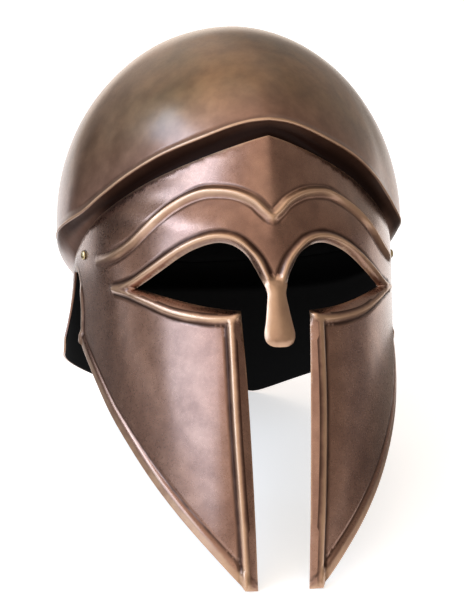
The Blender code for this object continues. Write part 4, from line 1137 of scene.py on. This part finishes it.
def antique_copper(name, roughest):
    """Copper plate on steel, darkened with liver of sulphur, rubbed back and lacquered.

    The lacquer gives a pale sheen at grazing angles, the patina browns and purples under it, and
    rubbed crests show clean pink copper. The darkest colour also paints shade into the skull's step and
    hidden wall."""
    material, tree = new_material(name)
    place = add(tree, "ShaderNodeTexCoord", {}).outputs["Object"]
    masks = {mask: add(tree, "ShaderNodeAttribute", {"attribute_name": mask}).outputs["Fac"]
             for mask in ("rubbed", "dark", "patina_and_painted_shade", "golden")}
    clouds, streaks, grain = (
        add(tree, "ShaderNodeTexNoise",
            {"Scale": 1 / size, "Detail": detail, "Roughness": PATTERN_ROUGHNESS,
             "Vector": place}).outputs["Fac"]
        for size, detail in COPPER_PATTERNS)
    ranges = (
        (clouds, 0.36, 0.64, 0.0, 1.0),
        (streaks, 0.35, 0.65, 0.0, 1.0),
        (streaks, 0.30, 0.70, -UNEVEN, UNEVEN),
        (grain, 0.30, 0.70, roughest - GRAIN_SPREAD, roughest),
    )
    cloudy, streaky, uneven, rough = (
        add(tree, "ShaderNodeMapRange", {"Value": value, "From Min": low, "From Max": high,
                                         "To Min": least, "To Max": most}).outputs[0]
        for value, low, high, least, most in ranges)

    # Wear on the rubbed lines, dark patina on the dark ones, and painted shade with patina where the
    # skull's mask sets it
    lines = []
    for mask, operation, most in (("rubbed", "ADD", MOST_WEAR), ("dark", "SUBTRACT", MOST_GRIME)):
        near = add(tree, "ShaderNodeMath", {"operation": operation, 0: masks[mask], 1: uneven})
        fade = {"interpolation_type": "SMOOTHSTEP", "Value": near.outputs[0], "To Min": most, "To Max": 0.0}
        lines.append(add(tree, "ShaderNodeMapRange", fade).outputs[0])
    wear, line = lines
    grime_and_painted_shade = add(tree, "ShaderNodeMath", {"operation": "MAXIMUM", 0: line, 1: masks["patina_and_painted_shade"]}).outputs[0]

    colour, golden, streak = (
        add(tree, "ShaderNodeMix", {"data_type": "RGBA", 0: share, 6: linear(first),
                                    7: linear(second)}).outputs[2]
        for share, (first, second) in (
            (cloudy, COPPER_BROWNS), (cloudy, COPPER_GOLDENS), (streaky, COPPER_STREAKS)))
    # The darkest colour is patina in the grooves, and painted shade on the skull's step and hidden wall.
    coats = (
        (masks["golden"], "MIX", golden),
        (1.0, "MULTIPLY", streak),
        (grime_and_painted_shade, "MIX", linear(DARKEST_PATINA_AND_SHADE)),
        (wear, "MIX", linear(RUBBED_COPPER)),
    )
    for share, kind, over in coats:
        colour = add(tree, "ShaderNodeMix", {"data_type": "RGBA", "blend_type": kind, 0: share,
                                             6: colour, 7: over}).outputs[2]
    for mask, share in ((grime_and_painted_shade, GRIME_AND_SHADE_ROUGHER), (wear, WEAR_ROUGHER)):
        rougher = {"operation": "MULTIPLY_ADD", 0: mask, 1: share, 2: rough}
        rough = add(tree, "ShaderNodeMath", rougher).outputs[0]
    lacquer = {"Value": grime_and_painted_shade, "From Max": 0.9, "To Min": LACQUER[0], "To Max": LACQUER[1]}
    coat = add(tree, "ShaderNodeMapRange", lacquer).outputs[0]
    scratches = add(tree, "ShaderNodeBump", {"Strength": 0.05, "Distance": 0.0002, "Height": grain})
    shader = add(tree, "ShaderNodeBsdfPrincipled", {
        "Metallic": 1.0, "Base Color": colour, "Roughness": rough, "Normal": scratches.outputs["Normal"],
        "Coat Weight": coat, "Coat Roughness": LACQUER_ROUGHNESS, "Coat IOR": LACQUER_IOR})
    add(tree, "ShaderNodeOutputMaterial", {"Surface": shader.outputs["BSDF"]})
    return material


def black_inside():
    """Matt black paint sprayed on the inner side, which takes no shine."""
    material, tree = new_material("black_inside")
    place = add(tree, "ShaderNodeTexCoord", {}).outputs["Object"]
    spray = add(tree, "ShaderNodeTexNoise", {"Scale": 1 / 0.002, "Detail": 2.0, "Vector": place})
    colour = add(tree, "ShaderNodeMix", {"data_type": "RGBA", 0: spray.outputs["Fac"],
                                         6: linear("#020202"), 7: linear("#0a0908")})
    shader = add(tree, "ShaderNodeBsdfPrincipled", {
        "Base Color": colour.outputs[2], "Roughness": 0.85, "Specular IOR Level": 0.15})
    add(tree, "ShaderNodeOutputMaterial", {"Surface": shader.outputs["BSDF"]})
    return material


def aged_brass():
    """Turned brass gone dull, with brown patina in patches, which keeps a small bright highlight."""
    material, tree = new_material("aged_brass")
    place = add(tree, "ShaderNodeTexCoord", {}).outputs["Object"]
    spots = add(tree, "ShaderNodeTexNoise", {"Scale": 1 / 0.0015, "Detail": 3.0, "Vector": place})
    share = spots.outputs["Fac"]
    colour = add(tree, "ShaderNodeMix", {"data_type": "RGBA", 0: share, 6: linear("#8b7750"),
                                         7: linear("#d8c79c")})
    rough = add(tree, "ShaderNodeMapRange", {"Value": share, "To Min": 0.22, "To Max": 0.38})
    shader = add(tree, "ShaderNodeBsdfPrincipled", {
        "Metallic": 1.0, "Base Color": colour.outputs[2], "Roughness": rough.outputs[0]})
    add(tree, "ShaderNodeOutputMaterial", {"Surface": shader.outputs["BSDF"]})
    return material


def plain_floor():
    """Matt white card on a light table, which gives a soft even ground."""
    material, tree = new_material("floor_card")
    shader = add(tree, "ShaderNodeBsdfPrincipled", {
        "Base Color": linear("#f4f3f1"), "Roughness": 0.9, "Specular IOR Level": 0.1,
        "Emission Color": linear("#ffffff"), "Emission Strength": 0.60})
    add(tree, "ShaderNodeOutputMaterial", {"Surface": shader.outputs["BSDF"]})
    return material


def matt_card(name, colour):
    """Matt painted card, which darkens what the metal mirrors on one side."""
    material, tree = new_material(name)
    shader = add(tree, "ShaderNodeBsdfPrincipled", {
        "Base Color": linear(colour), "Roughness": 0.9, "Specular IOR Level": 0.1})
    add(tree, "ShaderNodeOutputMaterial", {"Surface": shader.outputs["BSDF"]})
    return material


# Stage, light and camera

def add_floor():
    bm = bmesh.new()
    bmesh.ops.create_circle(bm, cap_ends=True, segments=96, radius=FLOOR_RADIUS)
    floor = linked("floor", mesh_of("floor", bm, [plain_floor()]))
    floor.location = (0, 0, -FLOOR_DROP)


def direction(azimuth, elevation):
    """Unit vector in the helmet's own frame; azimuth is degrees from the face towards its right side."""
    a, e = math.radians(azimuth), math.radians(elevation)
    return Vector((math.sin(a) * math.cos(e), -math.cos(a) * math.cos(e), math.sin(e)))


def facing_middle(thing, stance, azimuth, elevation, distance):
    """Puts a flat thing at a distance from the helmet's middle and turns it to face it."""
    middle = stance @ Vector((0, 0, FACE_HEIGHT * MIDDLE_HEIGHT))
    away = stance.to_3x3() @ direction(azimuth, elevation)
    thing.location = middle + away * distance
    thing.rotation_euler = away.to_track_quat("Z", "Y").to_euler()


def add_softbox(name, stance, azimuth, elevation, reach, radiance, colour):
    """Rectangular light; reach is half of what it spans in degrees, across and up."""
    light = bpy.data.lights.new(name, "AREA")
    light.shape = "RECTANGLE"
    light.size, light.size_y = (2 * SOFTBOX_DISTANCE * math.tan(math.radians(half)) for half in reach)
    light.energy = radiance * math.pi * light.size * light.size_y
    light.color = linear(colour)[:3]
    box = linked(name, light)
    box.visible_camera = False
    facing_middle(box, stance, azimuth, elevation, SOFTBOX_DISTANCE)


def reflected_only(name, bm, material):
    """Card that shows in the metal's reflections and nowhere else."""
    card = linked(name, mesh_of(name, bm, [material]))
    card.visible_camera = False
    card.visible_shadow = False
    card.visible_diffuse = False
    return card


def add_flag(name, stance, azimuth, elevation, reach, material):
    """Card on a stand beside the helmet; reach is half of what it spans in degrees, across and up."""
    half = [FLAG_DISTANCE * math.tan(math.radians(angle)) for angle in reach]
    bm = bmesh.new()
    bm.faces.new([bm.verts.new((a * half[0], b * half[1], 0)) for a, b in CARD_CORNERS])
    card = reflected_only(name, bm, material)
    facing_middle(card, stance, azimuth, elevation, FLAG_DISTANCE)


def add_floor_card(name, middle, half, material):
    bm = bmesh.new()
    corners = [(middle[0] + a * half[0], middle[1] + b * half[1], FLOOR_CARD_HEIGHT)
               for a, b in CARD_CORNERS]
    bm.faces.new([bm.verts.new(corner) for corner in corners])
    reflected_only(name, bm, material)


def add_world(stance):
    """Studio round the helmet: dim walls with broad soft patches of light on them."""
    world = bpy.data.worlds.new("studio")
    bpy.context.scene.world = world
    world.use_nodes = True
    tree = world.node_tree
    tree.nodes.clear()
    way = add(tree, "ShaderNodeTexCoord", {}).outputs["Generated"]
    strength = ROOM_WALLS
    for azimuth, elevation, inner, outer, radiance in ROOM_PATCHES:
        toward = stance.to_3x3() @ direction(azimuth, elevation)
        near = add(tree, "ShaderNodeVectorMath", {"operation": "DOT_PRODUCT", 0: way, 1: toward})
        patch = add(tree, "ShaderNodeMapRange", {
            "interpolation_type": "SMOOTHSTEP", "Value": near.outputs["Value"],
            "From Min": math.cos(math.radians(outer)), "From Max": math.cos(math.radians(inner)),
            "To Max": radiance})
        brighter = {"operation": "MAXIMUM", 0: strength, 1: patch.outputs[0]}
        strength = add(tree, "ShaderNodeMath", brighter).outputs[0]
    light = add(tree, "ShaderNodeBackground", {"Color": linear(ROOM_COLOUR), "Strength": strength})
    add(tree, "ShaderNodeOutputWorld", {"Surface": light.outputs[0]})


def add_camera(stance):
    """The photograph's camera: its place and turn were worked out in the helmet's own frame."""
    yaw, pitch, roll = (math.radians(value) for value in (CAMERA_YAW, CAMERA_PITCH, CAMERA_ROLL))
    back = Vector((-math.sin(yaw) * math.cos(pitch), -math.cos(yaw) * math.cos(pitch), math.sin(pitch)))
    level = (-back).cross(Vector((0, 0, 1))).normalized()
    upright = level.cross(-back)
    right = math.cos(roll) * level + math.sin(roll) * upright
    up = -math.sin(roll) * level + math.cos(roll) * upright
    place = CAMERA_AIM[0] * right + CAMERA_AIM[1] * up + CAMERA_DISTANCE * back
    place.y += CAMERA_MIDDLE
    turn = Matrix((right, up, back)).transposed().to_4x4()
    camera = bpy.data.cameras.new("camera")
    camera.sensor_fit = "HORIZONTAL"
    camera.sensor_width = CAMERA_SENSOR
    camera.lens = CAMERA_LENS
    camera.clip_end = CAMERA_REACH
    thing = linked("camera", camera)
    thing.matrix_world = stance @ Matrix.Translation(place) @ turn
    bpy.context.scene.camera = thing


def main():
    stance = helmet_stance()
    polished = antique_copper("polished_antique_copper", 0.33)
    satin = antique_copper("satin_antique_copper", 0.46)
    black, brass = black_inside(), aged_brass()
    plate = make_face_plate([polished, black])
    skull = make_skull([satin, black])
    rivets, cutters = [], []
    for side, word in ((-1, "left"), (1, "right")):
        rivets.append(make_rivet(f"rivet_head_{word}", side, [brass]))
        cutters.append(drill(side, (plate, skull), black))
    for thing in (plate, skull):
        apply_modifiers(thing)
    for cutter in cutters:
        bpy.data.objects.remove(cutter, do_unlink=True)
    nodes = ("face_plate", "skull", "rivet_left", "rivet_right")
    slots = ("antique_copper", "antique_copper", "rivet_brass", "rivet_brass")
    for piece, node, slot in zip((plate, skull, *rivets), nodes, slots):
        piece.data.transform(stance)
        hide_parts(node)
        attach(piece, "root")

    add_floor()
    for name, *place, radiance, colour in SOFTBOXES:
        add_softbox(name, stance, *place, radiance, colour)
    cards = {name: matt_card(name, colour) for name, colour in CARD_COLOURS.items()}
    for name, card, *place in FLAGS:
        add_flag(name, stance, *place, cards[card])
    for name, *place in FLOOR_CARDS:
        add_floor_card(name, *place, cards["grey_card"])
    add_world(stance)
    add_camera(stance)
    bpy.context.scene.view_settings.view_transform = "Standard"


main()
